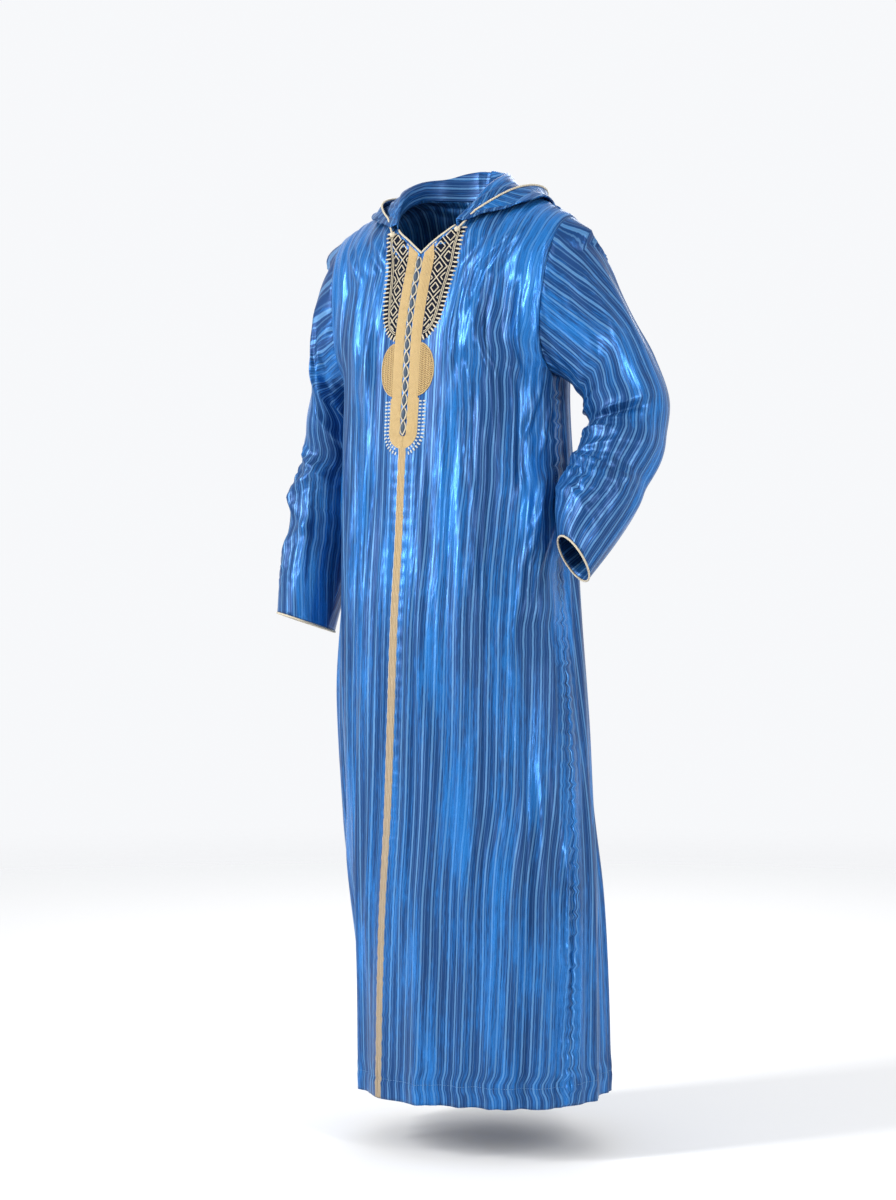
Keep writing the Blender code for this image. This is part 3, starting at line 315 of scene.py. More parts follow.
def curve(table, at):
    """Values of a table at one place or many, on a smooth curve through its rows."""
    rows = np.array(table, dtype=float)
    places = rows[:, 0]
    slopes = np.gradient(rows, places, axis=0)
    at = np.clip(np.asarray(at, dtype=float), places[0], places[-1])
    first = np.clip(np.searchsorted(places, at, side="right") - 1, 0, len(places) - 2)
    span = np.expand_dims(places[first + 1] - places[first], -1)
    t = np.expand_dims(at - places[first], -1) / span
    start = rows[first] * (2 * t ** 3 - 3 * t ** 2 + 1) + slopes[first] * span * (t ** 3 - 2 * t ** 2 + t)
    end = rows[first + 1] * (3 * t ** 2 - 2 * t ** 3) + slopes[first + 1] * span * (t ** 3 - t ** 2)
    return start + end


def unit(vectors):
    """Vectors at length 1."""
    return vectors / np.maximum(np.linalg.norm(vectors, axis=-1, keepdims=True), 1e-12)


def hump(value, middle, width):
    """1 at the middle and a soft fall on both sides."""
    return np.exp(-((value - middle) / width) ** 2)


def wandering(phase, amount, pace):
    """Sine of a phase that wanders, so that its waves are uneven."""
    return np.sin(phase + amount * np.sin(pace))


def lengths_along(line):
    """Distance of every point along a line from its first point."""
    return np.concatenate([[0.0], np.cumsum(np.linalg.norm(np.diff(line, axis=0), axis=1))])


def values_at(wanted, travelled, line):
    """Rows of a line at wanted distances along it."""
    return np.stack([np.interp(wanted, travelled, line[:, k]) for k in range(line.shape[1])], axis=1)


def mirrored(side):
    """Factors that turn the left side into a side."""
    return np.array((SIDES[side], 1.0, 1.0))


print("half width at the waist:", round(float(curve(BODY_SECTIONS, -0.5)[1]), 3), "m")

# %% [markdown]
# ## The body as four grids
# The body is cut in quarters: front and back, left and right. Each quarter is a grid of points. Its rows
# run from the middle line to the side seam, and from the hem to the shoulder. A row below the underarm is a
# part of a rounded square; above it the row runs from the neckline to the armhole. Grids are easy to fold,
# because every point knows how far round and how high it is.

# %% Quarter grids
LOWER_STEPS = 9
UPPER_STEPS = 6
COLUMNS = 66
ARC_POINTS = 241
EASE_ROWS = 14
EASE_TURNS = 60
ROWS = [k / LOWER_STEPS for k in range(LOWER_ROWS * LOWER_STEPS + 1)]
ROWS += [LOWER_ROWS + k / UPPER_STEPS for k in range(1, UPPER_ROWS * UPPER_STEPS + 1)]
UNDERARM_INDEX = LOWER_ROWS * LOWER_STEPS


def row_index(row):
    """Number in the fine grid of one of the rows of the solids."""
    return UNDERARM_INDEX + (row - LOWER_ROWS) * UPPER_STEPS


def armhole_point(half, share):
    """Point of the left armhole, underarm at 0, shoulder tip at 1."""
    swing = math.pi * share
    out = ARMHOLE_LOW_OUT + (ARMHOLE_TOP_OUT - ARMHOLE_LOW_OUT) * 0.5 * (1.0 - math.cos(swing))
    forward = -1.0 if half == "front" else 1.0
    middle = 0.5 * (UNDERARM + SHOULDER_TIP)
    reach = 0.5 * (SHOULDER_TIP - UNDERARM)
    return np.array((out, forward * ARMHOLE_DEPTH * math.sin(swing), middle - reach * math.cos(swing)))


def row_ends(half, row):
    """Middle point, side point and squareness of one row."""
    forward = -1.0 if half == "front" else 1.0
    if row <= LOWER_ROWS:
        height = HEM + (UNDERARM - HEM) * row / LOWER_ROWS
        section = curve(BODY_SECTIONS, height)
        middle = np.array((0.0, forward * section[2], height))
        return middle, np.array((section[1], 0.0, height)), section[3]
    neckline = FRONT_NECKLINE if half == "front" else BACK_NECKLINE
    straight = UPPER_ROWS - (len(neckline) - 1)
    upper = row - LOWER_ROWS
    if upper > straight:
        middle = curve(neckline, upper - straight)[1:]
    else:
        height = UNDERARM + (neckline[0][3] - UNDERARM) * upper / straight
        middle = np.array((0.0, curve(MIDDLE_LINE, height)[1 if half == "front" else 2], height))
    share = upper / UPPER_ROWS
    return middle, armhole_point(half, share), BODY_SECTIONS[-1][3] - smooth(share * SQUARENESS_PACE)


def quarter_row(half, row):
    """Points of one row of the left half, evenly spaced along the cloth."""
    middle, side, squareness = row_ends(half, row)
    angles = np.linspace(0.0, 0.5 * math.pi, ARC_POINTS)
    across = np.sin(angles) ** (2.0 / squareness)
    along = 1.0 - np.clip(np.cos(angles), 0.0, 1.0) ** (2.0 / squareness)
    fine = middle + (side - middle) * np.stack([across, along, across], axis=1)
    upper = max(row - LOWER_ROWS, 0.0) / UPPER_ROWS
    fine[:, 2] += SHOULDER_CROWN * upper ** 2 * np.sin(math.pi * across)
    travelled = lengths_along(fine)
    return values_at(np.linspace(0.0, travelled[-1], COLUMNS + 1), travelled, fine)


def worn_turn(points):
    """Turns and shifts the sections as the body wears them."""
    section = curve(BODY_SECTIONS, points[..., 2])
    fade = 1.0 - smooth((points[..., 2] - UNDERARM) / SHIFT_FADE)
    turn = np.radians(section[..., 6]) * fade
    x = points[..., 0] * np.cos(turn) - points[..., 1] * np.sin(turn) + section[..., 4] * fade
    y = points[..., 0] * np.sin(turn) + points[..., 1] * np.cos(turn) + section[..., 5] * fade
    return np.stack([x, y, points[..., 2]], axis=-1)


def eased(grid):
    """The grid without the hard line at the underarm's height; its middle and side columns stay."""
    rows = np.arange(UNDERARM_INDEX - EASE_ROWS, UNDERARM_INDEX + EASE_ROWS)
    near = 1.0 - np.abs(rows - UNDERARM_INDEX) / EASE_ROWS
    weight = (near[:, None] * np.sin(math.pi * np.linspace(0.0, 1.0, COLUMNS + 1)) ** 0.5)[..., None]
    for _ in range(EASE_TURNS):
        mean = 0.5 * (grid[rows - 1] + grid[rows + 1])
        grid[rows] += 0.5 * weight * (mean - grid[rows])
    return grid


QUARTERS = (
    ("front", "left", 1.0), ("front", "right", -1.0), ("back", "left", -1.0), ("back", "right", 1.0),
)
flat_body = {}
for half, side, sign in QUARTERS:
    grid = eased(np.array([quarter_row(half, row) for row in ROWS]))
    if side == "right":
        grid[:, :, 0] *= -1.0
    flat_body[(half, side)] = worn_turn(grid)
print("quarters:", {name: grid.shape for name, grid in flat_body.items()})

# %% [markdown]
# ## Folds
# Cloth that hangs from the shoulders falls in long soft ridges. Each fold of the tables becomes a ridge
# with a shallow trough beside it, which drifts a little as it falls and fades at its ends. Small random
# waves are added last, because real cloth is never quite smooth. Every quarter is lifted along directions
# that it shares with its neighbours, so the seams stay closed.

# %% Fold heights
WAVE_COUNT = 16
WAVE_HEIGHT = 0.00060
# waves round the body, waves down it, start and weight, each from least to most
WAVE_RANGES = ((9.0, 34.0), (2.0, 9.0), (0.0, 6.28), (0.4, 1.0))
random.seed(7)
WAVES = [[random.uniform(least, most) for least, most in WAVE_RANGES] for _ in range(WAVE_COUNT)]


def fold_lift(table, around, height, trough):
    """How far the folds of a table lift the cloth at many places."""
    lift = np.zeros_like(height)
    for centre, drift, top, bottom, width, depth in table:
        travel = (top - height) / (top - bottom)
        fade = smooth(travel / FOLD_END_SHARE)
        if bottom > HEM:
            fade = fade * smooth((1.0 - travel) / FOLD_END_SHARE)
        away = around - centre - drift * np.clip(travel, 0.0, 1.0)
        away = ((away + 1.0) % 2.0 - 1.0) / width
        inside = (height <= top) & (height >= bottom)
        lift += inside * depth * fade * (np.exp(-away ** 2) - trough * np.exp(-(away - TROUGH_PLACE) ** 2))
    return lift


def wave_lift(around, height):
    """Small waves all round, finer across than down."""
    lift = np.zeros_like(height)
    for across, down, start, weight in WAVES:
        lift += weight * np.sin(2.0 * math.pi * round(across) * 0.5 * around + down * height + start)
    return WAVE_HEIGHT * lift


def face_directions(points, sign):
    """Outward direction at every point of a grid."""
    return unit(np.cross(np.gradient(points, axis=1), np.gradient(points, axis=0)) * sign)


def share_seams(grids, directions):
    """Gives points that lie on one another the same direction."""
    sums = {}
    for grid, direction in zip(grids, directions):
        keys = np.round(grid * 1e5).astype(int)
        for row, column in rim_places(grid.shape):
            key = tuple(keys[row, column])
            sums[key] = sums.get(key, 0.0) + direction[row, column]
    for grid, direction in zip(grids, directions):
        keys = np.round(grid * 1e5).astype(int)
        for row, column in rim_places(grid.shape):
            direction[row, column] = unit(sums[tuple(keys[row, column])])


def rim_places(shape):
    """Row and column of every point on a grid's rim."""
    rows, columns = shape[:2]
    rim = [(r, c) for r in range(rows) for c in (0, columns - 1)]
    return rim + [(r, c) for r in (0, rows - 1) for c in range(1, columns - 1)]


def around_of(half, side):
    """Place round the body of each column of a quarter."""
    share = 0.5 * np.arange(COLUMNS + 1) / COLUMNS
    around = share if half == "front" else 1.0 - share
    return around if side == "left" else -around


body_names = list(flat_body)
body_out = [face_directions(flat_body[(half, side)], sign) for half, side, sign in QUARTERS]
share_seams([flat_body[name] for name in body_names], body_out)
body = {}
for name, out in zip(body_names, body_out):
    grid = flat_body[name]
    height = grid[..., 2]
    around = np.broadcast_to(around_of(*name), height.shape)
    lift = fold_lift(BIG_FOLDS, around, height, 0.0)
    lift = lift + fold_lift(FINE_FOLDS, around, height, TROUGH_SHARE) + wave_lift(around, height)
    body[name] = grid + out * np.array((1.0, 1.0, FOLD_RISE_SHARE)) * lift[..., None]
deepest = max(float(np.abs(body[name] - flat_body[name]).max()) for name in body_names)
print("deepest fold:", round(1000 * deepest, 1), "mm")

# %% [markdown]
# ## Seams, pocket and hem
# A seam draws the cloth in a little and makes it pucker. So the rim of each panel dips by a millimetre, and
# short ripples fade out within two finger widths of the seam. The left side seam opens over the pocket,
# where the front edge stands out as a lip. At the foot the vents hang closed, and the hem is turned up and
# stitched.

# %% Seam dips, puckers and openings
POCKET_TOP = -0.405
POCKET_FOOT = -0.580
POCKET_HALF_OPEN = {"left": 0.0060, "right": 0.0010}
POCKET_LIP = {"left": 0.0100, "right": 0.0020}
VENT_TOP = -1.260
VENT_HALF_OPEN = 0.0001
SEAM_DIP = 0.0010
PUCKER_HEIGHT = 0.0023
PUCKER_REACH = 0.018
PUCKER_TOP = UNDERARM + 0.05
PUCKER_FADE = 0.10
# length of a ripple, how far and how fast it wanders, share
RIPPLES = ((0.021, 1.5, 41.0, 1.0), (0.013, 2.0, 23.0, 0.6))
SEAM_WIDTH = 0.003
MIDDLE_SHARE = 0.30
MIDDLE_START = 0.3
MIDDLE_PLACE = 0.010
MIDDLE_REACH = 0.012
HEM_STITCH = 0.033
HEM_DIP = 0.0010
HEM_DIP_REACH = 0.005
HEM_SWELL = 0.0006
HEM_SWELL_PLACE = 0.018
HEM_SWELL_REACH = 0.012
HEM_PUCKER = 0.0012
HEM_PUCKER_START = 0.11
HEM_PUCKER_REACH = 0.018
OPENING_REACH = 0.020
LIP_REACH = 0.030


def ripples(length):
    """Uneven short ripples along a seam."""
    return sum(share * wandering(length * 2 * math.pi / wave, amount, length * pace)
               for wave, amount, pace, share in RIPPLES)


def travelled_across(points):
    """Distance along each row of a grid from its first column."""
    steps = np.linalg.norm(np.diff(points, axis=1), axis=2)
    return np.concatenate([np.zeros((len(points), 1)), np.cumsum(steps, axis=1)], axis=1)


def distances_from(points, column):
    """Distance along each row from one column of a grid."""
    travelled = travelled_across(points)
    return np.abs(travelled - travelled[:, column][:, None])


def sewn(name, points, out):
    """The quarter with its seams drawn in and puckered."""
    half, side = name
    height = points[..., 2]
    from_side = distances_from(points, -1)
    from_middle = distances_from(points, 0)
    low = smooth((PUCKER_TOP - height) / PUCKER_FADE)
    pucker = ripples(height) * hump(from_side, 0.0, PUCKER_REACH) * low
    lift = PUCKER_HEIGHT * pucker - SEAM_DIP * hump(from_side, 0.0, SEAM_WIDTH)
    if half == "front":
        middle_ripples = MIDDLE_SHARE * PUCKER_HEIGHT * ripples(height + MIDDLE_START)
        lift = lift + middle_ripples * hump(from_middle, MIDDLE_PLACE, MIDDLE_REACH)
    above_hem = height - HEM
    lift = lift - HEM_DIP * hump(above_hem, HEM_STITCH, HEM_DIP_REACH)
    lift = lift + HEM_SWELL * hump(above_hem, HEM_SWELL_PLACE, HEM_SWELL_REACH)
    hem_ripples = HEM_PUCKER * ripples(from_middle + HEM_PUCKER_START)
    lift = lift + hem_ripples * hump(above_hem, HEM_STITCH, HEM_PUCKER_REACH)
    moved = points + out * lift[..., None]
    share = (height[:, -1] - POCKET_FOOT) / (POCKET_TOP - POCKET_FOOT)
    slit = np.where((share > 0.0) & (share < 1.0), np.sin(math.pi * np.clip(share, 0.0, 1.0)), 0.0)
    vent = smooth((VENT_TOP - height[:, -1]) / (VENT_TOP - HEM))
    opening = POCKET_HALF_OPEN[side] * slit + VENT_HALF_OPEN * vent
    inward = unit(points[:, -2] - points[:, -1])
    moved += (inward * opening[:, None])[:, None, :] * hump(from_side, 0.0, OPENING_REACH)[..., None]
    if half == "front":
        moved += out * (POCKET_LIP[side] * slit[:, None] * hump(from_side, 0.0, LIP_REACH))[..., None]
    return moved


sewn_body = {name: sewn(name, body[name], out) for name, out in zip(body_names, body_out)}
slit_width = 2000 * POCKET_HALF_OPEN["left"]
print("pocket slit from", POCKET_TOP, "to", POCKET_FOOT, "m, open", slit_width, "mm on the left")

# %% [markdown]
# ## From grids to cloth
# A cloth piece is a thin shell: the grid as faces, then a Solidify modifier that gives it the thickness of
# the material and closes its edges. Its UV map is the flat cut in metres: one direction across the stripes,
# the other along them. A pattern drawn on that map bends with the cloth, as a woven stripe does.

# %% Cloth shells
CLOTH = 0.0012
WELD_REACH = 0.00001


def deselect():
    """Leaves nothing selected."""
    bpy.ops.object.select_all(action="DESELECT")


def take(piece):
    """Selects one object alone and makes it active."""
    deselect()
    piece.select_set(True)
    bpy.context.view_layer.objects.active = piece


def travelled_along(points):
    """Distance down each column of a grid from its first row."""
    steps = np.linalg.norm(np.diff(points, axis=0), axis=2)
    return np.concatenate([np.zeros((1, points.shape[1])), np.cumsum(steps, axis=0)], axis=0)


def flat_cut(points, middle):
    """Flat place of every point in metres: across from one column, along from the first row."""
    across = travelled_across(points)
    return np.stack([across - across[:, middle][:, None], travelled_along(points)], axis=-1)


def panel_cut(points, neckline):
    """Flat cut of a quarter: level distance from the middle line, so that the stripes hang straight."""
    across = travelled_across(points[..., :2])
    neck_row = row_index(LOWER_ROWS + UPPER_ROWS - (len(neckline) - 1))
    start = np.where(np.arange(len(points)) > neck_row, np.abs(points[:, 0, 0]), 0.0)
    return np.stack([across + start[:, None], travelled_along(points)], axis=-1)


def mapped_object(name, points, faces, flats):
    """Smooth object whose face corners carry their place on the flat cut."""
    mesh = bpy.data.meshes.new(name)
    mesh.from_pydata(points, [], faces)
    mesh.uv_layers.new(name="flat_cut").data.foreach_set("uv", np.array(flats, dtype=float).ravel())
    mesh.shade_smooth()
    piece = bpy.data.objects.new(name, mesh)
    bpy.context.scene.collection.objects.link(piece)
    return piece


def cloth_piece(name, patches, thickness=CLOTH):
    """Thin shell of one or more patches; a patch is points, flat cut, closed and sign."""
    points = []
    faces = []
    flats = []
    for grid, flat, closed, sign in patches:
        rows, columns = grid.shape[:2]
        start = len(points)
        points += [tuple(p) for p in grid.reshape(-1, 3)]
        for row in range(rows - 1):
            for column in range(columns if closed else columns - 1):
                after = column + 1
                corners = [(row, column), (row, after), (row + 1, after), (row + 1, column)]
                if sign < 0.0:
                    corners.reverse()
                faces.append([start + r * columns + c % columns for r, c in corners])
                flats += [tuple(flat[r, c]) for r, c in corners]
    piece = mapped_object(name, points, faces, flats)
    if len(patches) > 1:
        weld(piece.data)
    take(piece)
    shell = piece.modifiers.new("thickness", "SOLIDIFY")
    shell.thickness = thickness
    shell.offset = -1.0
    bpy.ops.object.modifier_apply(modifier=shell.name)
    return piece


def weld(mesh):
    """Joins points that lie on one another."""
    shape = bmesh.new()
    shape.from_mesh(mesh)
    bmesh.ops.remove_doubles(shape, verts=shape.verts, dist=WELD_REACH)
    shape.to_mesh(mesh)
    shape.free()


def grid_area(points, closed=False):
    """Area of a grid's cloth in square metres."""
    ring = np.concatenate([points, points[:, :1]], axis=1) if closed else points
    one = np.cross(ring[:-1, 1:] - ring[:-1, :-1], ring[1:, :-1] - ring[:-1, :-1])
    two = np.cross(ring[1:, :-1] - ring[1:, 1:], ring[:-1, 1:] - ring[1:, 1:])
    return 0.5 * float(np.linalg.norm(one, axis=-1).sum() + np.linalg.norm(two, axis=-1).sum())


def dress(piece, node, size, area):
    """Lets a cloth piece stand for its solid and says what it was cut from."""
    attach(piece, "root")
    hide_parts(node)
    print(piece.name, "cut from %.2f x %.2f m, %.3f square metres" % (size[0], size[1], area))


def cut_size(flat):
    """Width and length of the flat cut."""
    return float(np.ptp(flat[..., 0])), float(np.ptp(flat[..., 1]))


# %% [markdown]
# ## Front and back panels
# Each front panel is one quarter. The back panel is cut in one piece, so its two quarters are welded down
# the middle. The flat cut of the right-hand parts is mirrored, because the stripes are matched at the
# middle.

# %% Panels
cloth = {}
for side, sign in SIDES.items():
    grid = sewn_body[("front", side)]
    flat = panel_cut(grid, FRONT_NECKLINE)
    cloth["front_" + side] = cloth_piece("front_panel_" + side, [(grid, flat, False, sign)])
    dress(cloth["front_" + side], "front_" + side, cut_size(flat), grid_area(grid))
patches = []
both = []
for side, sign in SIDES.items():
    grid = sewn_body[("back", side)]
    flat = panel_cut(grid, BACK_NECKLINE) * np.array((sign, 1.0))
    patches.append((grid, flat, False, -sign))
    both.append(flat)
cloth["back"] = cloth_piece("back_panel", patches)
back_area = sum(grid_area(sewn_body[("back", side)]) for side in SIDES)
dress(cloth["back"], "back", cut_size(np.concatenate(both)), back_area)

# %% [markdown]
# ## Sleeves
# A sleeve is a tube of rings. Two lines guide it: one down its outer side and one down its inner side. The
# first ring is the armhole itself, and the next ones blend away from it. The left sleeve is bent towards
# the pocket, so its cloth piles up in one deep fold inside the elbow; the right sleeve hangs. Any point
# that comes too near the body is moved off it, as real cloth would be.

# %% Sleeve tubes
def surface_tree(grids):
    """Search tree over quarters of the body, with faces that point out."""
    points = []
    faces = []
    for half, side, sign in QUARTERS:
        if (half, side) not in grids:
            continue
        grid = grids[(half, side)]
        start = len(points)
        rows, columns = grid.shape[:2]
        points += [Vector(p) for p in grid.reshape(-1, 3)]
        for row in range(rows - 1):
            for column in range(columns - 1):
                a = start + row * columns + column
                face = (a, a + 1, a + 1 + columns, a + columns)
                faces.append(face if sign > 0.0 else face[::-1])
    return BVHTree.FromPolygons(points, faces)


def kept_off(tree, point, room):
    """The point, moved out where it lies closer to the body than the room it needs."""
    place, normal, _, distance = tree.find_nearest(Vector(point))
    if distance > ROOM_REACH:
        return point
    height = float((Vector(point) - place).dot(normal))
    return point if height >= room else point + np.array(normal) * (room - height)


def sleeve_frame(table, along):
    """Centre, outer and front half axes of the ring at a place."""
    def lines(place):
        row = curve(table, min(max(place, 0.0), 1.0))
        return row[1:4], row[4:7], row[7]

    outer_point, inner_point, half_front = lines(along)
    ahead = sum(lines(along + RING_STEP)[:2])
    behind = sum(lines(along - RING_STEP)[:2])
    outer = 0.5 * (outer_point - inner_point)
    side = unit(outer)
    axis = ahead - behind
    axis = unit(axis - side * np.dot(axis, side))
    return 0.5 * (outer_point + inner_point), outer, np.cross(axis, side) * half_front


def sleeve_lift(side, along, facing):
    """How far creases and pulls lift one ring; facing is an array of degrees."""
    lift = np.zeros_like(facing)
    for centre, slope, above, below, towards, spread, depth in SLEEVE_CREASES[side]:
        turn = (facing - towards + 180.0) % 360.0 - 180.0
        away = along - centre - slope * turn / 90.0
        away = away / np.where(away < 0.0, above, below)
        lift += depth * np.exp(-away ** 2 - (turn / spread) ** 2)
    for start, end, first, last, width, depth in SLEEVE_PULLS[side]:
        share = (along - first) / (last - first)
        if 0.0 < share < 1.0:
            turn = (facing - start - (end - start) * share + 180.0) % 360.0 - 180.0
            fade = min(1.0, 4.0 * share, 3.0 * (1.0 - share))
            ridge = hump(turn, 0.0, width) - PULL_TROUGH * hump(turn, PULL_TROUGH_PLACE * width, width)
            lift += depth * fade * ridge
    turn = np.radians(facing)
    for centre, towards, reach, spread, height in SLEEVE_CRUMPLES[side]:
        away = (facing - towards + 180.0) % 360.0 - 180.0
        near = np.exp(-((along - centre) / reach) ** 2 - (away / spread) ** 2)
        waves, breaks, cross_waves = (along * down + turn * across for down, across in CRUMPLE_WAVES)
        waves = wandering(waves, 1.5, 7.0 * turn) * np.cos(breaks)
        cross_waves = wandering(cross_waves, 2.0, 90.0 * along)
        lift += height * near * (waves + CROSS_SHARE * cross_waves)
    gathers = wandering(turn * GATHERS, 2.0, turn * 3.0)
    gathers = GATHER_HEIGHT * math.exp(-(along / GATHER_REACH) ** 2) * gathers
    return (lift + gathers * smooth(along / GATHER_START)) * smooth((1.0 - along) / CUFF_FADE)


def sleeve_grid(side, armhole, tree):
    """Rings of a sleeve from the armhole to the cuff, starting at the shoulder tip."""
    table = BENT_SLEEVE if side == "left" else HANGING_SLEEVE
    mirror = mirrored(side)
    angles = 2.0 * math.pi * np.arange(len(armhole)) / len(armhole)

    def ring(along):
        centre, outer, front = sleeve_frame(table, along)
        spokes = outer * np.cos(angles)[:, None] + front * np.sin(angles)[:, None]
        return centre + spokes + unit(spokes) * sleeve_lift(side, along, np.degrees(angles))[:, None]

    first = ring(0.0)
    rings = [armhole]
    for step in range(1, SLEEVE_RINGS + 1):
        along = step / SLEEVE_RINGS
        points = (ring(along) + (armhole * mirror - first) * (1.0 - smooth(along / SEAM_FADE))) * mirror
        room = SLEEVE_ROOM * float(smooth(along / ROOM_FROM))
        rings.append(np.array([kept_off(tree, p, room) for p in points]))
    return np.array(rings)


def turn_in(frame_at, points):
    """Angle of points round a sleeve's axis, in one of its frames."""
    centre, outer, front = frame_at
    away = points - centre
    return np.arctan2(away @ front / np.dot(front, front), away @ outer / np.dot(outer, outer))


def sleeve_cut(side, rolled):
    """Flat cut of a sleeve whose rings start at the underarm; its cap's stripes keep to the arm's line."""
    table = BENT_SLEEVE if side == "left" else HANGING_SLEEVE
    ring = np.concatenate([rolled, rolled[:, :1]], axis=1) * mirrored(side)
    count = rolled.shape[1]
    plain = (np.arange(count + 1) / count - 0.5) * 2.0 * math.pi
    fixed = sleeve_frame(table, CAP_END)
    rounds = []
    for step in range(len(ring)):
        along = step / SLEEVE_RINGS
        share = float(smooth((along - CAP_END + CAP_BLEND) / (2.0 * CAP_BLEND)))
        turned = np.unwrap(turn_in(fixed, ring[step]))
        turned -= 2.0 * math.pi * round(turned[count // 2] / (2.0 * math.pi))
        length = np.linalg.norm(np.diff(ring[max(step, CAP_RINGS)], axis=0), axis=1).sum()
        rounds.append((turned * (1.0 - share) + plain * share) * length / (2.0 * math.pi))
    return np.stack([np.array(rounds), travelled_along(ring)], axis=-1)


body_tree = surface_tree(sewn_body)
sleeves = {}
for side, sign in SIDES.items():
    front = sewn_body[("front", side)][UNDERARM_INDEX:, -1]
    back = sewn_body[("back", side)][UNDERARM_INDEX:, -1]
    grid = sleeve_grid(side, np.concatenate([front[::-1], back[1:-1]]), body_tree)
    sleeves[side] = grid
    rolled = np.roll(grid, grid.shape[1] // 2, axis=1)
    flat = sleeve_cut(side, rolled)
    cloth["sleeve_" + side] = cloth_piece("sleeve_cloth_" + side, [(rolled, flat, True, sign)])
    seam = np.concatenate([rolled[0], rolled[0, :1]])
    size = (float(lengths_along(seam)[-1]), cut_size(flat)[1])
    dress(cloth["sleeve_" + side], "sleeve_" + side, size, grid_area(rolled, True))

# %% [markdown]
# ## The turned-down hood
# The hood is sewn to the neckline between two knots. Worn down, it stands up a little round the neck, turns
# over and hangs at the back as an empty pouch. We sweep one profile round the neckline: seam, ridge,
# gutter, turn and rim. The profile grows from nothing at the knots to a deep pocket at the nape.

# %% Hood sheet
def neck_seam(side):
    """Points of the hood's seam on half of the neckline, knot to nape, twice as fine as the rows."""
    front = sewn_body[("front", side)][row_index(LOWER_ROWS + CHEST_ROWS + KNOT_ROW):, 0]
    back = sewn_body[("back", side)][row_index(LOWER_ROWS + UPPER_ROWS - BACK_NECK_ROWS):, 0]
    line = np.concatenate([front, back[::-1][1:]])
    full = np.zeros((len(line) * 2 - 1, 3))
    full[0::2] = line
    full[1::2] = 0.5 * (line[1:] + line[:-1])
    return full


def hood_half(seam):
    """Columns of the left half of the hood on its seam."""
    travelled = lengths_along(seam)
    rows = curve(HOOD_STATIONS, travelled / travelled[-1])
    up = np.array((0.0, 0.0, 1.0))
    columns = []
    for point, row in zip(seam, rows):
        facing = math.radians(row[1])
        out = np.array((math.sin(facing), -math.cos(facing), 0.0))
        stations = [(0, *point)]
        for k in range(HOOD_TURNS):
            stations.append((k + 1, *(point + out * row[2 + 2 * k] + up * row[3 + 2 * k])))
        profile = curve(stations, np.linspace(0.0, HOOD_TURNS, HOOD_ROWS + 1))[:, 1:]
        profile[0] = point
        columns.append(profile)
    return np.array(columns).transpose(1, 0, 2)


halves = []
for side in SIDES:
    half = hood_half(neck_seam(side) * mirrored(side)) * mirrored(side)
    halves.append(half if side == "left" else half[:, ::-1][:, 1:])
hood = np.concatenate(halves, axis=1)
share = np.linspace(0.0, 1.0, HOOD_ROWS + 1)[:, None]
weight = 0.5 * smooth(share / HOOD_EASE_SHARE)[..., None]
for _ in range(HOOD_EASE_TURNS):
    mean = 0.5 * (hood[:, 2:] + hood[:, :-2])
    hood[:, 1:-1] += weight * (mean - hood[:, 1:-1])
hood_out = face_directions(hood, 1.0)
hood_flat = flat_cut(hood, hood.shape[1] // 2)
across = hood_flat[..., 0]
wrinkles = wandering(across * 95.0 + 5.0 * share, 1.4, across * 23.0)
wrinkles = wrinkles + 0.7 * np.sin(across * 47.0 - 7.0 * share)
hood = hood + hood_out * (HOOD_WRINKLE * wrinkles * np.sin(math.pi * share))[..., None]
for row in range(1, HOOD_ROWS + 1):
    room = HOOD_ROOM * float(smooth(row / HOOD_ROWS / HOOD_ROOM_SHARE))
    for column in range(hood.shape[1]):
        hood[row, column] = kept_off(body_tree, hood[row, column], room)
hood_flat = flat_cut(hood, hood.shape[1] // 2)
cloth["hood"] = cloth_piece("hood_cloth", [(hood, hood_flat[..., ::-1], False, 1.0)])
hood_area = grid_area(hood)
seam_length = float(np.ptp(hood_flat[0, :, 0]))
dress(cloth["hood"], "hood", (seam_length, hood_area / seam_length / HOOD_CUT_SHARE), hood_area)

# %% [markdown]
# ## Threads on the chest
# All the embroidery lies on the two front panels. A small helper finds the point of the cloth at a distance
# out from the middle line and at a height, by looking straight at the front. A thread is then a low rounded
# bar that follows such points: half sunk in the cloth at its edges, one to two millimetres high in the
# middle. Hundreds of bars share one mesh, and each has only a few faces.

# %% Points on the front and thread bars
LOOK_FROM = -1.0
LOOK_ALONG = Vector((0.0, 1.0, 0.0))
FINE_STEP = 0.0014
CORD_STEP = 0.003
CURVE_POINTS = 12
TAPER_POWER = 6
# across and up, in widths and reliefs of a thread
BAR = ((-0.5, -0.15), (-0.36, 0.62), (0.0, 1.0), (0.36, 0.62), (0.5, -0.15))
front_tree = surface_tree({name: grid for name, grid in sewn_body.items() if name[0] == "front"})
middle_points = sewn_body[("front", "left")][:row_index(LOWER_ROWS + CHEST_ROWS) + 1, 0]
middle_heights = middle_points[:, 2]
middle_outs = middle_points[:, 0]


def on_front(places):
    """Points of the cloth and outward directions for places given as out and height."""
    points = []
    outs = []
    for out, height in places:
        centre = float(np.interp(height, middle_heights, middle_outs))
        start = Vector((centre + out, LOOK_FROM, height))
        place, normal, _, _ = front_tree.ray_cast(start, LOOK_ALONG)
        points.append(np.array(place))
        outs.append(np.array(normal))
    return np.array(points), np.array(outs)


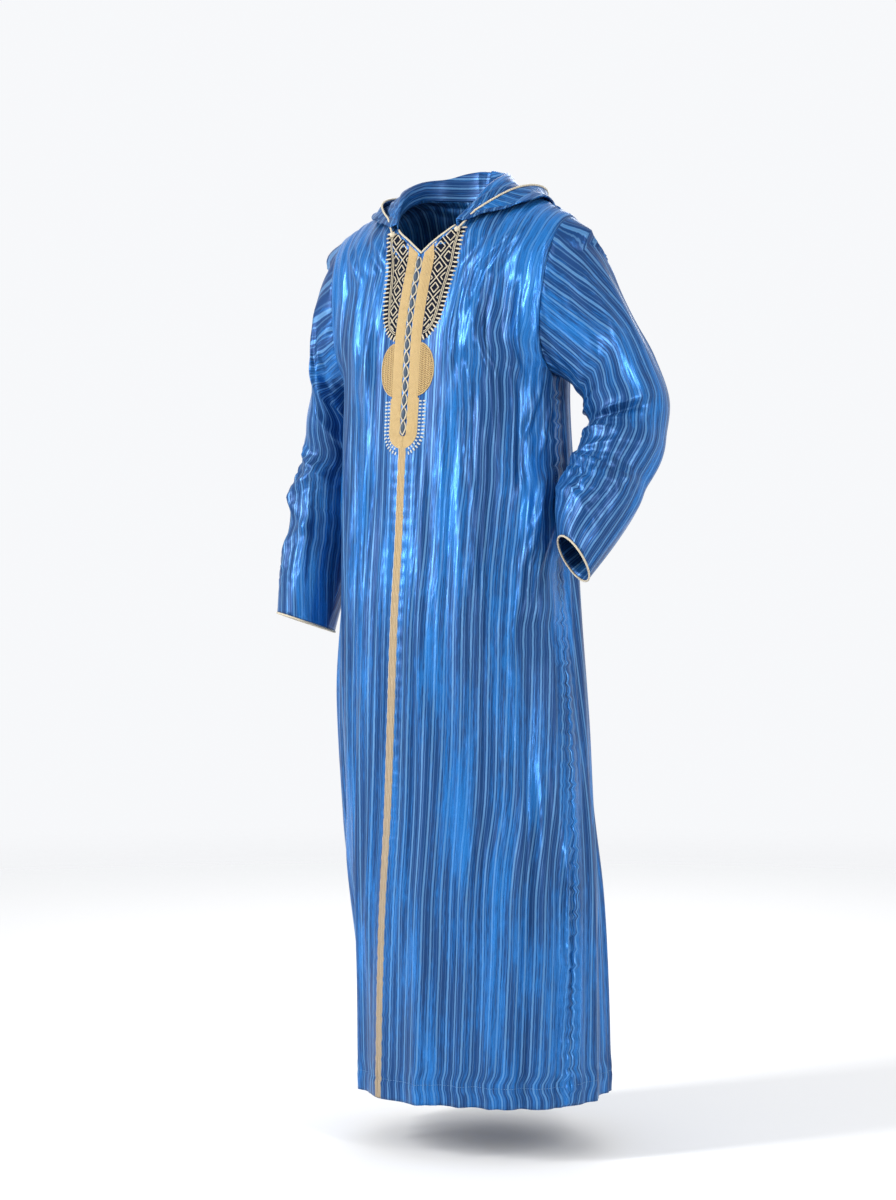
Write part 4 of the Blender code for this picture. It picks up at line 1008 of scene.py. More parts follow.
def bar_piece(name, strokes, nodes=()):
    """One mesh of rounded bars; a stroke is points, outward directions, widths and reliefs."""
    points = []
    faces = []
    flats = []
    sides = len(BAR)
    for line, outs, widths, reliefs in strokes:
        start = len(points)
        tangent = unit(np.gradient(line, axis=0))
        side = unit(np.cross(outs, tangent))
        travelled = lengths_along(line)
        for across, up in BAR:
            points.append(line + side * (across * widths)[:, None] + outs * (up * reliefs)[:, None])
        count = len(line)
        for step in range(count - 1):
            for k in range(sides):
                after = (k + 1) % sides
                corners = ((k, step), (k, step + 1), (after, step + 1), (after, step))
                faces.append([(start, row, place) for row, place in corners])
                width = float(widths[step])
                round_and_on = ((k, step), (k, step + 1), (k + 1, step + 1), (k + 1, step))
                flats += [(travelled[s], width * r / sides) for r, s in round_and_on]
        faces.append([(start, k, 0) for k in range(sides)])
        faces.append([(start, k, count - 1) for k in reversed(range(sides))])
        flats += [(0.0, 0.0)] * (2 * sides)
    offsets = []
    total = 0
    for block in points:
        offsets.append(total)
        total += len(block)
    corners = [[offsets[first + k] + step for first, k, step in face] for face in faces]
    piece = mapped_object(name, [tuple(p) for p in np.concatenate(points)], corners, flats)
    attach(piece, "root")
    if nodes:
        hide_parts(*nodes)
    print(name, len(strokes), "threads,", len(corners), "faces")
    return piece


def stroke(places, width, relief, taper=0.0):
    """A thread through places on the front; taper narrows both ends."""
    line, outs = on_front(places)
    share = np.linspace(0.0, 1.0, len(line))
    ends = 1.0 - taper * (np.abs(2.0 * share - 1.0) ** TAPER_POWER)
    return line, outs, width * ends, relief * ends


def even_line(places, step):
    """The same line with points at even steps."""
    places = np.array(places, dtype=float)
    travelled = lengths_along(places)
    count = max(2, int(round(travelled[-1] / step)) + 1)
    return values_at(np.linspace(0.0, travelled[-1], count), travelled, places)


def rounded_line(places, step):
    """A smooth line through places, with points at even steps."""
    table = [(k, *p) for k, p in enumerate(places)]
    wanted = np.linspace(0, len(places) - 1, CURVE_POINTS * len(places))
    return even_line(curve(table, wanted)[:, 1:], step)


def runs_inside(line, inside):
    """Stretches of a line whose points lie inside."""
    runs = []
    current = []
    for place, keep in zip(line, inside):
        if keep:
            current.append(place)
        elif current:
            runs.append(current)
            current = []
    if current:
        runs.append(current)
    return [np.array(run) for run in runs if len(run) > 1]


print("front search tree ready; a place at the breast:", on_front([(0.05, -0.2)])[0].round(3))

# %% [markdown]
# ## Gold bands
# Two bands of gold cord run down beside the lacing and close in a U under its last eye. Each is made by
# laying one thin cord beside another, so we do the same: lines at even distances from the middle, each down
# one side and round to the middle of the foot, where its mirror image meets it. Eight start at the V of the
# neckline, which cuts them off at a slant. A ninth one starts lower and runs round the outside of the U.

# %% Bands
BAND_FIRST = 0.0072
BAND_PITCH = 0.0022
BAND_CORDS = 8
U_CENTRE = -0.3563
U_CORDS = 9
U_TOP = -0.304
BAND_NECK_GAP = 0.0035
BAND_WIDTH = 0.0025
BAND_RELIEF = 0.0013
# distance out, height
NECK_EDGE = ((0.000, -0.075), (0.027, -0.053), (0.055, -0.032), (0.072, -0.008))


def neck_height(out):
    """Height of the neckline at a distance out."""
    return float(np.interp(out, [p[0] for p in NECK_EDGE], [p[1] for p in NECK_EDGE]))


def u_line(offset, top):
    """A line down at an offset, round the foot to the middle."""
    straight = [(offset, height) for height in np.arange(top, U_CENTRE, -CORD_STEP)]
    angles = np.linspace(0.0, 0.5 * math.pi, 9)
    return straight + [(offset * math.cos(a), U_CENTRE - offset * math.sin(a)) for a in angles]


for side in SIDES:
    flip = mirrored(side)[:2]
    strokes = []
    for k in range(U_CORDS):
        offset = BAND_FIRST + BAND_PITCH * k
        top = neck_height(offset) - BAND_NECK_GAP if k < BAND_CORDS else U_TOP
        places = even_line(u_line(offset, top), CORD_STEP)
        strokes.append(stroke(places * flip, BAND_WIDTH, BAND_RELIEF))
    cloth["band_" + side] = bar_piece("gold_band_" + side, strokes, ["band_" + side])

# %% [markdown]
# ## Plastron
# The chest fields are the richest part: a dark ground with a lattice of nested diamonds in cream silk, two
# thin border lines, and a row of teeth round the outside. The diamonds tile the plane, so we lay the whole
# tiling and keep only the stretches of thread that fall inside the border.

# %% Plastron fields
# height, inner edge, outer edge, from the foot up
PLASTRON = (
    (-0.2140, 0.0235, 0.0250), (-0.2080, 0.0235, 0.0370), (-0.1960, 0.0235, 0.0480),
    (-0.1800, 0.0235, 0.0545), (-0.1550, 0.0235, 0.0585), (-0.1250, 0.0235, 0.0620),
    (-0.0980, 0.0235, 0.0655), (-0.0750, 0.0235, 0.0690), (-0.0630, 0.0240, 0.0710),
    (-0.0540, 0.0310, 0.0720), (-0.0430, 0.0450, 0.0728), (-0.0345, 0.0560, 0.0732),
)
GROUND_RELIEF = 0.0003
GROUND_SINK = 0.0001
GROUND_SHELL = 0.0004
LEAST_WIDTH = 0.001
TOOTH_PITCH = 0.0068
TOOTH_LENGTH = 0.0080
TOOTH_OVER = 0.0010
TOOTH_WIDTH = 0.0032
TOOTH_RELIEF = 0.0010
TOOTH_TAPER = 0.35
BORDERS = (0.0098, 0.0124)
BORDER_INNER = 0.0245
BORDER_NECK_GAP = 0.004
BORDER_WIDTH = 0.0015
BORDER_RELIEF = 0.0011
LATTICE_MARGIN = 0.0144
LATTICE_INNER = 0.0243
LATTICE_NECK_GAP = 0.0045
LATTICE_START = (0.020, -0.214)
LATTICE_ROWS = range(-2, 14)
LATTICE_COLUMNS = range(-1, 4)
DIAMOND_WIDTH = 0.0300
DIAMOND_HEIGHT = 0.0330
DIAMOND_LEVELS = (0.5, 1.0)
LATTICE_WIDTH = 0.0021
LATTICE_DEPTH = 0.0014
CORNERS = ((0, 1), (1, 0), (0, -1), (-1, 0), (0, 1))


def outward(line):
    """Directions across a line, to its left as it runs, in the plane of the front."""
    along = unit(np.gradient(line, axis=0))
    return np.stack([-along[:, 1], along[:, 0]], axis=1)


def edge_at(heights, table, column, **beyond):
    """An edge of a table at some heights."""
    return np.interp(heights, [row[0] for row in table], [row[column] for row in table], **beyond)


def patch_piece(name, table, relief, nodes, mirror, columns=8, step=0.005):
    """Low ground between the two edges of a table."""
    heights = np.arange(table[0][0], table[-1][0] + 1e-9, step)
    shares = np.linspace(0.0, 1.0, columns + 1)
    raised = np.where((shares > 0.0) & (shares < 1.0), relief, 0.0) - GROUND_SINK
    tops = []
    for height in heights:
        inner = edge_at(height, table, 1)
        outer = max(edge_at(height, table, 2), inner + LEAST_WIDTH)
        points, outs = on_front([((inner + (outer - inner) * s) * mirror, height) for s in shares])
        tops.append(points + outs * raised[:, None])
    grid = np.array(tops)
    piece = cloth_piece(name, [(grid, flat_cut(grid, 0), False, mirror)], GROUND_SHELL)
    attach(piece, "root")
    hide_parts(*nodes)
    return piece


def field_edge(table):
    """Outer edge of a field from its top down, then in along its foot."""
    return rounded_line([(row[2], row[0]) for row in reversed(table)], FINE_STEP)


def teeth_along(line, flip, first, last, pitch, width):
    """Pointed stitches across a line, from first to last measured outwards."""
    outs = outward(line)
    step = max(1, int(round(pitch / FINE_STEP)))
    strokes = []
    for k in range(2, len(line) - 1, step):
        places = [(line[k] + outs[k] * d) * flip for d in np.linspace(first, last, 4)]
        strokes.append(stroke(places, width, TOOTH_RELIEF, taper=TOOTH_TAPER))
    return strokes


for side, sign in SIDES.items():
    flip = mirrored(side)[:2]
    edge = field_edge(PLASTRON)
    outs = outward(edge)
    cloth["ground_" + side] = patch_piece("plastron_ground_" + side, PLASTRON, GROUND_RELIEF,
                                          ["plastron_" + side], sign)
    strokes = teeth_along(edge, flip, -TOOTH_LENGTH, TOOTH_OVER, TOOTH_PITCH, TOOTH_WIDTH)
    for margin in BORDERS:
        line = edge - outs * margin
        keep = [p[0] > BORDER_INNER and p[1] < neck_height(p[0]) - BORDER_NECK_GAP for p in line]
        for run in runs_inside(line, keep):
            strokes.append(stroke(even_line(run, CORD_STEP) * flip, BORDER_WIDTH, BORDER_RELIEF))
    for row, column in itertools.product(LATTICE_ROWS, LATTICE_COLUMNS):
        shift = ((column + 0.5 * (row % 2)) * DIAMOND_WIDTH, row * DIAMOND_HEIGHT / 2)
        centre = np.array((LATTICE_START[0] + shift[0], LATTICE_START[1] + shift[1]))
        for level in DIAMOND_LEVELS[:1 if row % 2 else 2]:
            half = 0.5 * level * np.array((DIAMOND_WIDTH, DIAMOND_HEIGHT))
            line = even_line([centre + half * np.array(corner) for corner in CORNERS], FINE_STEP)
            near = np.linalg.norm(line[:, None] - edge[None], axis=2)
            nearest = near.argmin(1)
            side_of = ((line - edge[nearest]) * outs[nearest]).sum(1)
            keep = ((near.min(1) > LATTICE_MARGIN) & (side_of < 0.0) & (line[:, 0] > LATTICE_INNER)
                    & [p[1] < neck_height(p[0]) - LATTICE_NECK_GAP for p in line])
            for run in runs_inside(line, keep):
                strokes.append(stroke(run * flip, LATTICE_WIDTH, LATTICE_DEPTH))
    cloth["plastron_" + side] = bar_piece("plastron_threads_" + side, strokes)

# %% [markdown]
# ## Roundel and U teeth
# Under the plastron a gold roundel spreads on both sides of the bands. Its thread is laid in a herringbone:
# short slanted stitches in columns that lean one way and then the other. Round the U run two rows of short
# cream teeth.

# %% Roundel and teeth
ROUNDEL = (
    (-0.3005, 0.0235, 0.0250), (-0.2960, 0.0235, 0.0330), (-0.2860, 0.0235, 0.0420),
    (-0.2720, 0.0235, 0.0478), (-0.2590, 0.0235, 0.0490), (-0.2460, 0.0235, 0.0478),
    (-0.2320, 0.0235, 0.0420), (-0.2220, 0.0235, 0.0330), (-0.2175, 0.0235, 0.0250),
)
ROUNDEL_RELIEF = 0.0006
RIM_INSET = 0.0008
RIM_WIDTH = 0.0022
RIM_RELIEF = 0.0019
STITCH_INNER = 0.0233
HERRINGBONE_COLUMNS = 6
COLUMN_WIDTH = 0.0052
STITCH_ROWS = (-0.303, -0.214)
STITCH_PITCH = 0.0034
STITCH_SLANT = 0.0042
STITCH_MARGIN = 0.0016
STITCH_THICK = 0.0024
STITCH_HIGH = 0.0020
STITCH_TAPER = 0.3
U_TEETH_INNER = 0.0105
U_TEETH_DROP = 0.002
U_TEETH_PITCH = 0.0056
U_TEETH_WIDTH = 0.0029
U_TEETH = ((0.0264, 0.0306), (0.0322, 0.0376))

for side, sign in SIDES.items():
    flip = mirrored(side)[:2]
    edge = field_edge(ROUNDEL)
    outs = outward(edge)
    cloth["roundel_" + side] = patch_piece("roundel_ground_" + side, ROUNDEL, ROUNDEL_RELIEF,
                                           ["roundel_" + side], sign)
    strokes = [stroke((edge - outs * RIM_INSET) * flip, RIM_WIDTH, RIM_RELIEF)]
    for column in range(HERRINGBONE_COLUMNS):
        slant = STITCH_SLANT if column % 2 else -STITCH_SLANT
        inner = STITCH_INNER + column * COLUMN_WIDTH
        for height in np.arange(*STITCH_ROWS, STITCH_PITCH):
            shares = np.linspace(0.0, 1.0, 5)
            line = np.stack([inner + shares * COLUMN_WIDTH, height + slant * (shares - 0.5)], axis=1)
            limit = edge_at(line[:, 1], ROUNDEL, 2, left=0.0, right=0.0)
            for run in runs_inside(line, line[:, 0] < limit - STITCH_MARGIN):
                strokes.append(stroke(run * flip, STITCH_THICK, STITCH_HIGH, taper=STITCH_TAPER))
    cloth["roundel_thread_" + side] = bar_piece("roundel_threads_" + side, strokes)
    strokes = []
    for first, last in U_TEETH:
        middle = 0.5 * (first + last)
        line = even_line(u_line(middle, U_TOP - U_TEETH_DROP), FINE_STEP)
        line = np.array([p for p in line if p[0] > U_TEETH_INNER])
        reach = 0.5 * (last - first)
        strokes += teeth_along(line, flip, -reach, reach, U_TEETH_PITCH, U_TEETH_WIDTH)
    cloth["teeth_" + side] = bar_piece("u_teeth_" + side, strokes, ["teeth_" + side])

# %% [markdown]
# ## Lacing, eyes and braid
# Down the middle thirteen eyes are held by two cream cords that cross between them; the eyes' dark grey-blue
# is painted shade, standing for the blue cloth in shade between the cords. The cords are round and take
# turns on top, like a plait. From the foot of the U a narrow braid covers the front seam down to the hem.

# %% Lacing and braid
LACE_FIRST = -0.092
LACE_PITCH = 0.0215
LACE_EYES = 13
LACE_SWING = 0.0050
LACE_STEPS = 12
LACE_ROUNDNESS = 0.8
LACE_LOW = 0.0009
LACE_OVER = 0.0024
LACE_RADIUS = 0.0011
BRAID_ENDS = (-0.380, HEM + 0.0012)
BRAID_POINTS = 260
# distance out, width, relief
BRAID_CORDS = (
    (-0.0054, 0.0029, 0.0016), (-0.0027, 0.0029, 0.0016), (0.0027, 0.0029, 0.0016),
    (0.0054, 0.0029, 0.0016), (0.0, 0.0030, 0.0010),
)
ANY_DIRECTION = np.array((0.31, 0.17, 0.93))


def round_cord(name, line, radius, nodes, closed=False, sides=8):
    """Round cord along a line of points, with a UV of distance along and round."""
    count = len(line)
    following = np.roll(line, -1, axis=0)
    before = np.roll(line, 1, axis=0)
    tangent = unit(following - before if closed else np.gradient(line, axis=0))
    across = unit(np.cross(tangent, ANY_DIRECTION))
    for k in range(1, count):
        across[k] = unit(across[k - 1] - tangent[k] * np.dot(across[k - 1], tangent[k]))
    up = np.cross(tangent, across)
    travelled = lengths_along(np.concatenate([line, line[:1]]))
    points = []
    for k in range(count):
        for n in range(sides):
            angle = 2 * math.pi * n / sides
            outwards = across[k] * math.cos(angle) + up[k] * math.sin(angle)
            points.append(tuple(line[k] + radius * outwards))
    faces = []
    flats = []
    for k in range(count if closed else count - 1):
        for n in range(sides):
            corners = ((k + 1, n), (k + 1, n + 1), (k, n + 1), (k, n))
            faces.append([(a % count) * sides + b % sides for a, b in corners])
            flats += [(travelled[a], 2 * math.pi * radius * b / sides) for a, b in corners]
    if not closed:
        faces.append(list(range(sides)))
        faces.append([(count - 1) * sides + n for n in reversed(range(sides))])
        flats += [(0.0, 0.0)] * (2 * sides)
    piece = mapped_object(name, points, faces, flats)
    take(piece)
    bpy.ops.object.mode_set(mode="EDIT")
    bpy.ops.mesh.select_all(action="SELECT")
    bpy.ops.mesh.normals_make_consistent(inside=False)
    bpy.ops.object.mode_set(mode="OBJECT")
    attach(piece, "root")
    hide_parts(*nodes)
    cord_length = float(travelled[count if closed else count - 1])
    print(name, "cord of", round(cord_length, 3), "m,", len(faces), "faces")
    return piece


for side, sign in SIDES.items():
    places = []
    lifts = []
    for step in range(LACE_EYES * LACE_STEPS + 1):
        turn = step / LACE_STEPS
        swing = math.sin(math.pi * turn)
        out = sign * LACE_SWING * math.copysign(abs(swing) ** LACE_ROUNDNESS, swing)
        places.append((out, LACE_FIRST + (0.5 - turn) * LACE_PITCH))
        over = 0.5 - 0.5 * sign * math.cos(math.pi * turn)
        lifts.append(LACE_LOW + over * LACE_OVER * (1.0 - abs(swing)))
    line, outs = on_front(places)
    line = line + outs * np.array(lifts)[:, None]
    cloth["lace_" + side] = round_cord("lacing_cord_" + side, line, LACE_RADIUS,
                                       ["lace_" + side])

heights = np.linspace(*BRAID_ENDS, BRAID_POINTS)
strokes = [stroke([(out, h) for h in heights], width, relief) for out, width, relief in BRAID_CORDS]
cloth["braid"] = bar_piece("front_braid_cords", strokes, ["front_braid"])

# %% [markdown]
# The eyes are small pads; their dark grey-blue is painted shade, standing for the blue cloth in shade
# between the
# cords. One is modelled: a sphere, flattened and drawn to a point above and below. It is then copied to its
# thirteen places, and the copies are joined.

# %% Eyes
EYE_HALF_WIDTH = 0.0042
EYE_HALF_HEIGHT = 0.0084
EYE_RELIEF = 0.0030
EYE_NARROWING = 0.25
EYE_LIFT = 0.0008


def joined(pieces, name):
    """Several objects made one, smooth and with their places applied."""
    deselect()
    for piece in pieces:
        piece.select_set(True)
    bpy.context.view_layer.objects.active = pieces[0]
    bpy.ops.object.join()
    bpy.ops.object.transform_apply(location=True, rotation=True, scale=True)
    bpy.ops.object.shade_smooth()
    pieces[0].name = name
    return pieces[0]


deselect()
bpy.ops.mesh.primitive_uv_sphere_add(segments=16, ring_count=12, radius=1.0, location=(0.0, 0.0, 0.0))
pattern = bpy.context.active_object
for vertex in pattern.data.vertices:
    point = vertex.co
    narrow = 1.0 - EYE_NARROWING * abs(point.z) ** 3
    vertex.co = (point.x * EYE_HALF_WIDTH * narrow, point.y * EYE_RELIEF, point.z * EYE_HALF_HEIGHT)
eyes = []
for number in range(LACE_EYES):
    place, out = on_front([(0.0, LACE_FIRST - number * LACE_PITCH)])
    eye = bpy.data.objects.new("eye", pattern.data.copy())
    bpy.context.scene.collection.objects.link(eye)
    eye.location = Vector(place[0] + out[0] * EYE_LIFT)
    eyes.append(eye)
eyes = joined(eyes, "lacing_eyes")
bpy.data.objects.remove(pattern)
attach(eyes, "root")
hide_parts(*["eye_%02d" % (n + 1) for n in range(LACE_EYES)])
cloth["eyes"] = eyes
print("eyes:", LACE_EYES, "in one piece of", len(eyes.data.polygons), "faces")

# %% [markdown]
# ## Piping and knots
# Cream cord edges the face of the hood, the V of the neck and both cuffs. It lies just outside the cloth's
# edge, so we push the edge's own points out by the cord's radius. Where the hood ends on the neckline, the
# cord is tied in a small knot on each side.

# %% Piping
PIPING_RADIUS = 0.0016
REACH = PIPING_RADIUS + 0.0002
RIM_CUT = 5
KNOT_OUT = 0.060
KNOT_HEIGHT = -0.040
KNOT_LIFT = 0.0032

knot_middles = {}
for side, sign in SIDES.items():
    place, out = on_front([(KNOT_OUT * sign, KNOT_HEIGHT)])
    knot_middles[side] = place[0] + out[0] * KNOT_LIFT
rim = hood[-1] + unit(hood[-1] - hood[-2]) * REACH
rim = np.vstack([knot_middles["left"], rim[RIM_CUT:-RIM_CUT], knot_middles["right"]])
cloth["hood_piping"] = round_cord("hood_edge_cord", rim, PIPING_RADIUS, ["hood_piping"])
knot_row = row_index(LOWER_ROWS + CHEST_ROWS + KNOT_ROW)
foot_row = row_index(LOWER_ROWS + CHEST_ROWS)
lines = []
for side in SIDES:
    edge, inside = (sewn_body[("front", side)][foot_row:knot_row + 1, column] for column in (0, 1))
    lines.append(edge + unit(edge - inside) * REACH)
lines[0][0] = lines[1][0] = 0.5 * (lines[0][0] + lines[1][0]) + np.array((0.0, 0.0, 0.5 * REACH))
neck_line = np.concatenate([lines[0][::-1], lines[1][1:]])
cloth["neck_piping"] = round_cord("neck_edge_cord", neck_line, PIPING_RADIUS,
                                  ["neck_piping"])
for side, rings in sleeves.items():
    cuff = rings[-1] + unit(rings[-1] - rings[-2]) * REACH
    cloth["cuff_" + side] = round_cord("cuff_edge_cord_" + side, cuff, PIPING_RADIUS,
                                       ["cuff_piping_" + side], closed=True)

# %% [markdown]
# A cord knot hides the end of the piping. Seen from near it is a few turns of cord round one another, so
# three small rings at different tilts make one. Blender's torus has just that form.

# %% Knots
KNOT_RING = 0.0030
KNOT_CORD = 0.0017
KNOT_TILTS = ((0.0, 0.0, 0.0), (1.3, 0.4, 0.0), (0.5, 1.4, 0.6))

for side, middle in knot_middles.items():
    centre = Vector(middle)
    turns = []
    for tilt in KNOT_TILTS:
        deselect()
        bpy.ops.mesh.primitive_torus_add(major_segments=24, minor_segments=8, major_radius=KNOT_RING,
                                         minor_radius=KNOT_CORD, location=centre, rotation=tilt)
        turns.append(bpy.context.active_object)
    knot = joined(turns, "hood_knot_cord_" + side)
    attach(knot, "root")
    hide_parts("hood_knot_" + side)
    cloth["knot_" + side] = knot
    print(knot.name, "of", len(turns), "turns at", tuple(round(c, 3) for c in centre))

# %% [markdown]
# ## Stitches
# The hem is turned up and held by a row of small stitches, and a second row holds the edge of each pocket.
# A stitch is a very small bar, laid on the cloth's own points, so it follows every ripple. They show only
# from near, but they tell the eye how large the garment is.

# %% Hem and pocket stitches
STITCH_STEP = 0.0044
STITCH_LENGTH = 0.0028
STITCH_WIDTH = 0.0007
STITCH_RELIEF = 0.0005
POCKET_INSET = 3


def stitches_along(line, outs):
    """Small bars at even steps along a line of cloth points."""
    travelled = lengths_along(line)
    strokes = []
    for start in np.arange(STITCH_STEP, travelled[-1] - STITCH_LENGTH, STITCH_STEP):
        wanted = np.linspace(start, start + STITCH_LENGTH, 3)
        points = values_at(wanted, travelled, line)
        facing = unit(values_at(wanted, travelled, outs))
        strokes.append((points, facing, np.full(3, STITCH_WIDTH), np.full(3, STITCH_RELIEF)))
    return strokes


strokes = []
for half, side, sign in QUARTERS:
    grid = sewn_body[(half, side)]
    outs = face_directions(grid, sign)
    above = (grid[:12, :, 2] - HEM) - HEM_STITCH
    row = int(np.argmin(np.abs(above).mean(axis=1)))
    strokes += stitches_along(grid[row, 1:-1], outs[row, 1:-1])
    if half == "front":
        rows = np.flatnonzero((grid[:, -1, 2] > POCKET_FOOT) & (grid[:, -1, 2] < POCKET_TOP))
        strokes += stitches_along(grid[rows, -1 - POCKET_INSET], outs[rows, -1 - POCKET_INSET])
cloth["stitches"] = bar_piece("hem_stitches", strokes)

# %% [markdown]
# ## Striped satin
# The cloth is woven with light and dark stripes, and its long silk floats catch the light in streaky
# highlights, which are painted into the colour. One node group reads the flat cut in metres and puts out
# three things: how light the stripe is, a mask of streaky and cloudy patches that sets both the gloss and
# the painted highlight, and a height for fine slubs and crumples. The colours and the gloss stay in the
# material that uses the group.

# %% Striped satin group
def new_group(name, inputs, outputs):
    """Empty shader group with named sockets."""
    group = bpy.data.node_groups.new(name, "ShaderNodeTree")
    for socket, kind, value in inputs:
        made = group.interface.new_socket(name=socket, in_out="INPUT", socket_type=kind)
        if value is not None:
            made.default_value = value
    for socket, kind in outputs:
        group.interface.new_socket(name=socket, in_out="OUTPUT", socket_type=kind)
    start = group.nodes.new("NodeGroupInput")
    end = group.nodes.new("NodeGroupOutput")
    return group, start, end


def set_values(tree, node, values):
    """Fills a node's inputs; a value is a socket to link, or a number or colour to set."""
    for socket, value in values.items():
        if isinstance(value, bpy.types.NodeSocket):
            tree.links.new(value, node.inputs[socket])
        else:
            node.inputs[socket].default_value = value


def new_node(tree, kind, values, **settings):
    """Shader node with its settings and values."""
    node = tree.nodes.new("ShaderNode" + kind)
    for setting, choice in settings.items():
        setattr(node, setting, choice)
    set_values(tree, node, values)
    return node


def maths(tree, operation, *values):
    """Math node on sockets or numbers."""
    return new_node(tree, "Math", dict(enumerate(values)), operation=operation).outputs[0]


def soft_range(tree, value, low, high, bottom=0.0, top=1.0):
    """Value moved softly from one range to another."""
    values = {"Value": value, "From Min": low, "From Max": high, "To Min": bottom, "To Max": top}
    return new_node(tree, "MapRange", values, interpolation_type="SMOOTHSTEP").outputs[0]


def noise(tree, vector, across, along, detail=2.0, roughness=0.5):
    """Noise at a vector that is scaled differently across and along the cloth."""
    stretched = new_node(tree, "Mapping", {"Vector": vector, "Scale": (across, along, 1.0)}).outputs[0]
    values = {"Vector": stretched, "Scale": 1.0, "Detail": detail, "Roughness": roughness}
    return new_node(tree, "TexNoise", values).outputs[0]


# middle of a stripe, half its width where it ends and where it is full, in pitches, and its strength
STRIPES = (
    (0.5, 0.125, 0.075, 1.0), (0.5, 0.035, 0.015, -0.14),
    (0.80, 0.055, 0.022, 0.55), (0.20, 0.050, 0.020, 0.30),
)
satin, start, end = new_group(
    "striped satin",
    [("Flat Cut", "NodeSocketVector", None), ("Pitch", "NodeSocketFloat", 0.0152)],
    [("Stripe", "NodeSocketFloat"), ("Streaks", "NodeSocketFloat"), ("Height", "NodeSocketFloat")])
flat_metres = start.outputs["Flat Cut"]
parts = new_node(satin, "SeparateXYZ", {0: flat_metres})
sway = noise(satin, flat_metres, 9.0, 5.0, 1.0)
swayed = maths(satin, "ADD", parts.outputs[0], maths(satin, "MULTIPLY", sway, 0.0022))
turns = maths(satin, "DIVIDE", swayed, start.outputs["Pitch"])
place = maths(satin, "FRACT", maths(satin, "ADD", turns, 100.0))
bands = []
for middle, outer, inner, strength in STRIPES:
    away = maths(satin, "ABSOLUTE", maths(satin, "SUBTRACT", place, middle))
    bands.append(maths(satin, "MULTIPLY", soft_range(satin, away, outer, inner), strength))
main, core, thin, other = bands
stripe = maths(satin, "ADD", maths(satin, "ADD", main, core), maths(satin, "ADD", thin, other))
satin.links.new(stripe, end.inputs["Stripe"])
# cloudy patches and fine streaky noise make one mask, for the gloss and for the painted highlight
patches = noise(satin, flat_metres, 16.0, 3.4, 2.0, 0.55)
long_streak = noise(satin, flat_metres, 240.0, 9.0, 3.0, 0.6)
short_streak = noise(satin, flat_metres, 700.0, 45.0, 2.0, 0.6)
gloss_and_painted_highlight = maths(satin, "MULTIPLY", maths(satin, "ADD", long_streak, short_streak), 0.5)
gloss_and_painted_highlight_clouds = maths(satin, "ADD", gloss_and_painted_highlight, maths(satin, "MULTIPLY", patches, 0.9))
satin.links.new(soft_range(satin, gloss_and_painted_highlight_clouds, 0.86, 1.14), end.inputs["Streaks"])
crumple = noise(satin, flat_metres, 58.0, 13.0, 3.0, 0.55)
slub = noise(satin, flat_metres, 480.0, 26.0, 2.0, 0.5)
drape = noise(satin, flat_metres, 19.0, 2.2, 2.0, 0.55)
slow = maths(satin, "ADD", crumple, maths(satin, "MULTIPLY", drape, 6.0))
height = maths(satin, "ADD", slow, maths(satin, "MULTIPLY", slub, 0.06))
satin.links.new(maths(satin, "ADD", height, maths(satin, "MULTIPLY", main, 0.03)), end.inputs["Height"])
print("group", satin.name, "with", len(satin.nodes), "nodes")

# %% [markdown]
# The material mixes a deep and a light blue by the stripe, and then a bright blue where the streaky mask is
# strong, as a painted highlight. Silk satin shines more where its floats lie smooth, so the same mask also
# lowers the roughness. A little metallic keeps the highlights blue, as dyed silk does.

# %% Satin materials
def mixed(tree, factor, first, second):
    """Mix of two colours by a socket; a colour is a socket or three numbers."""
    node = tree.nodes.new("ShaderNodeMix")
    node.data_type = "RGBA"
    colours = [s for s in node.inputs if s.type == "RGBA"]
    values = [s for s in node.inputs if s.type == "VALUE"]
    for socket, value in ((values[0], factor), (colours[0], first), (colours[1], second)):
        if isinstance(value, tuple):
            socket.default_value = (*value, 1.0)
        else:
            tree.links.new(value, socket)
    return [s for s in node.outputs if s.type == "RGBA"][0]


def grouped(tree, group, **values):
    """Places a group on the piece's own flat cut."""
    vector = new_node(tree, "UVMap", {}, uv_map="flat_cut").outputs[0]
    return new_node(tree, "Group", {"Flat Cut": vector, **values}, node_tree=group)


def bumped(tree, height, strength, distance):
    """Normal from a height."""
    values = {"Height": height, "Strength": strength, "Distance": distance}
    return new_node(tree, "Bump", values).outputs[0]


def new_finish(name):
    """Material with its Principled shader."""
    material = bpy.data.materials.new(name)
    material.use_nodes = True
    return material, material.node_tree, material.node_tree.nodes["Principled BSDF"]


DEEP_BLUE = (0.0015, 0.042, 0.164)
LIGHT_BLUE = (0.080, 0.215, 0.430)
# bright blue of the painted highlight, mixed into the colour where the streaky mask is strong
PAINTED_HIGHLIGHT_BLUE = (0.018, 0.225, 0.680)
CRUMPLE_DEPTH = 0.0019
SATIN_PIECES = ("front_left", "front_right", "back", "sleeve_left", "sleeve_right", "hood")


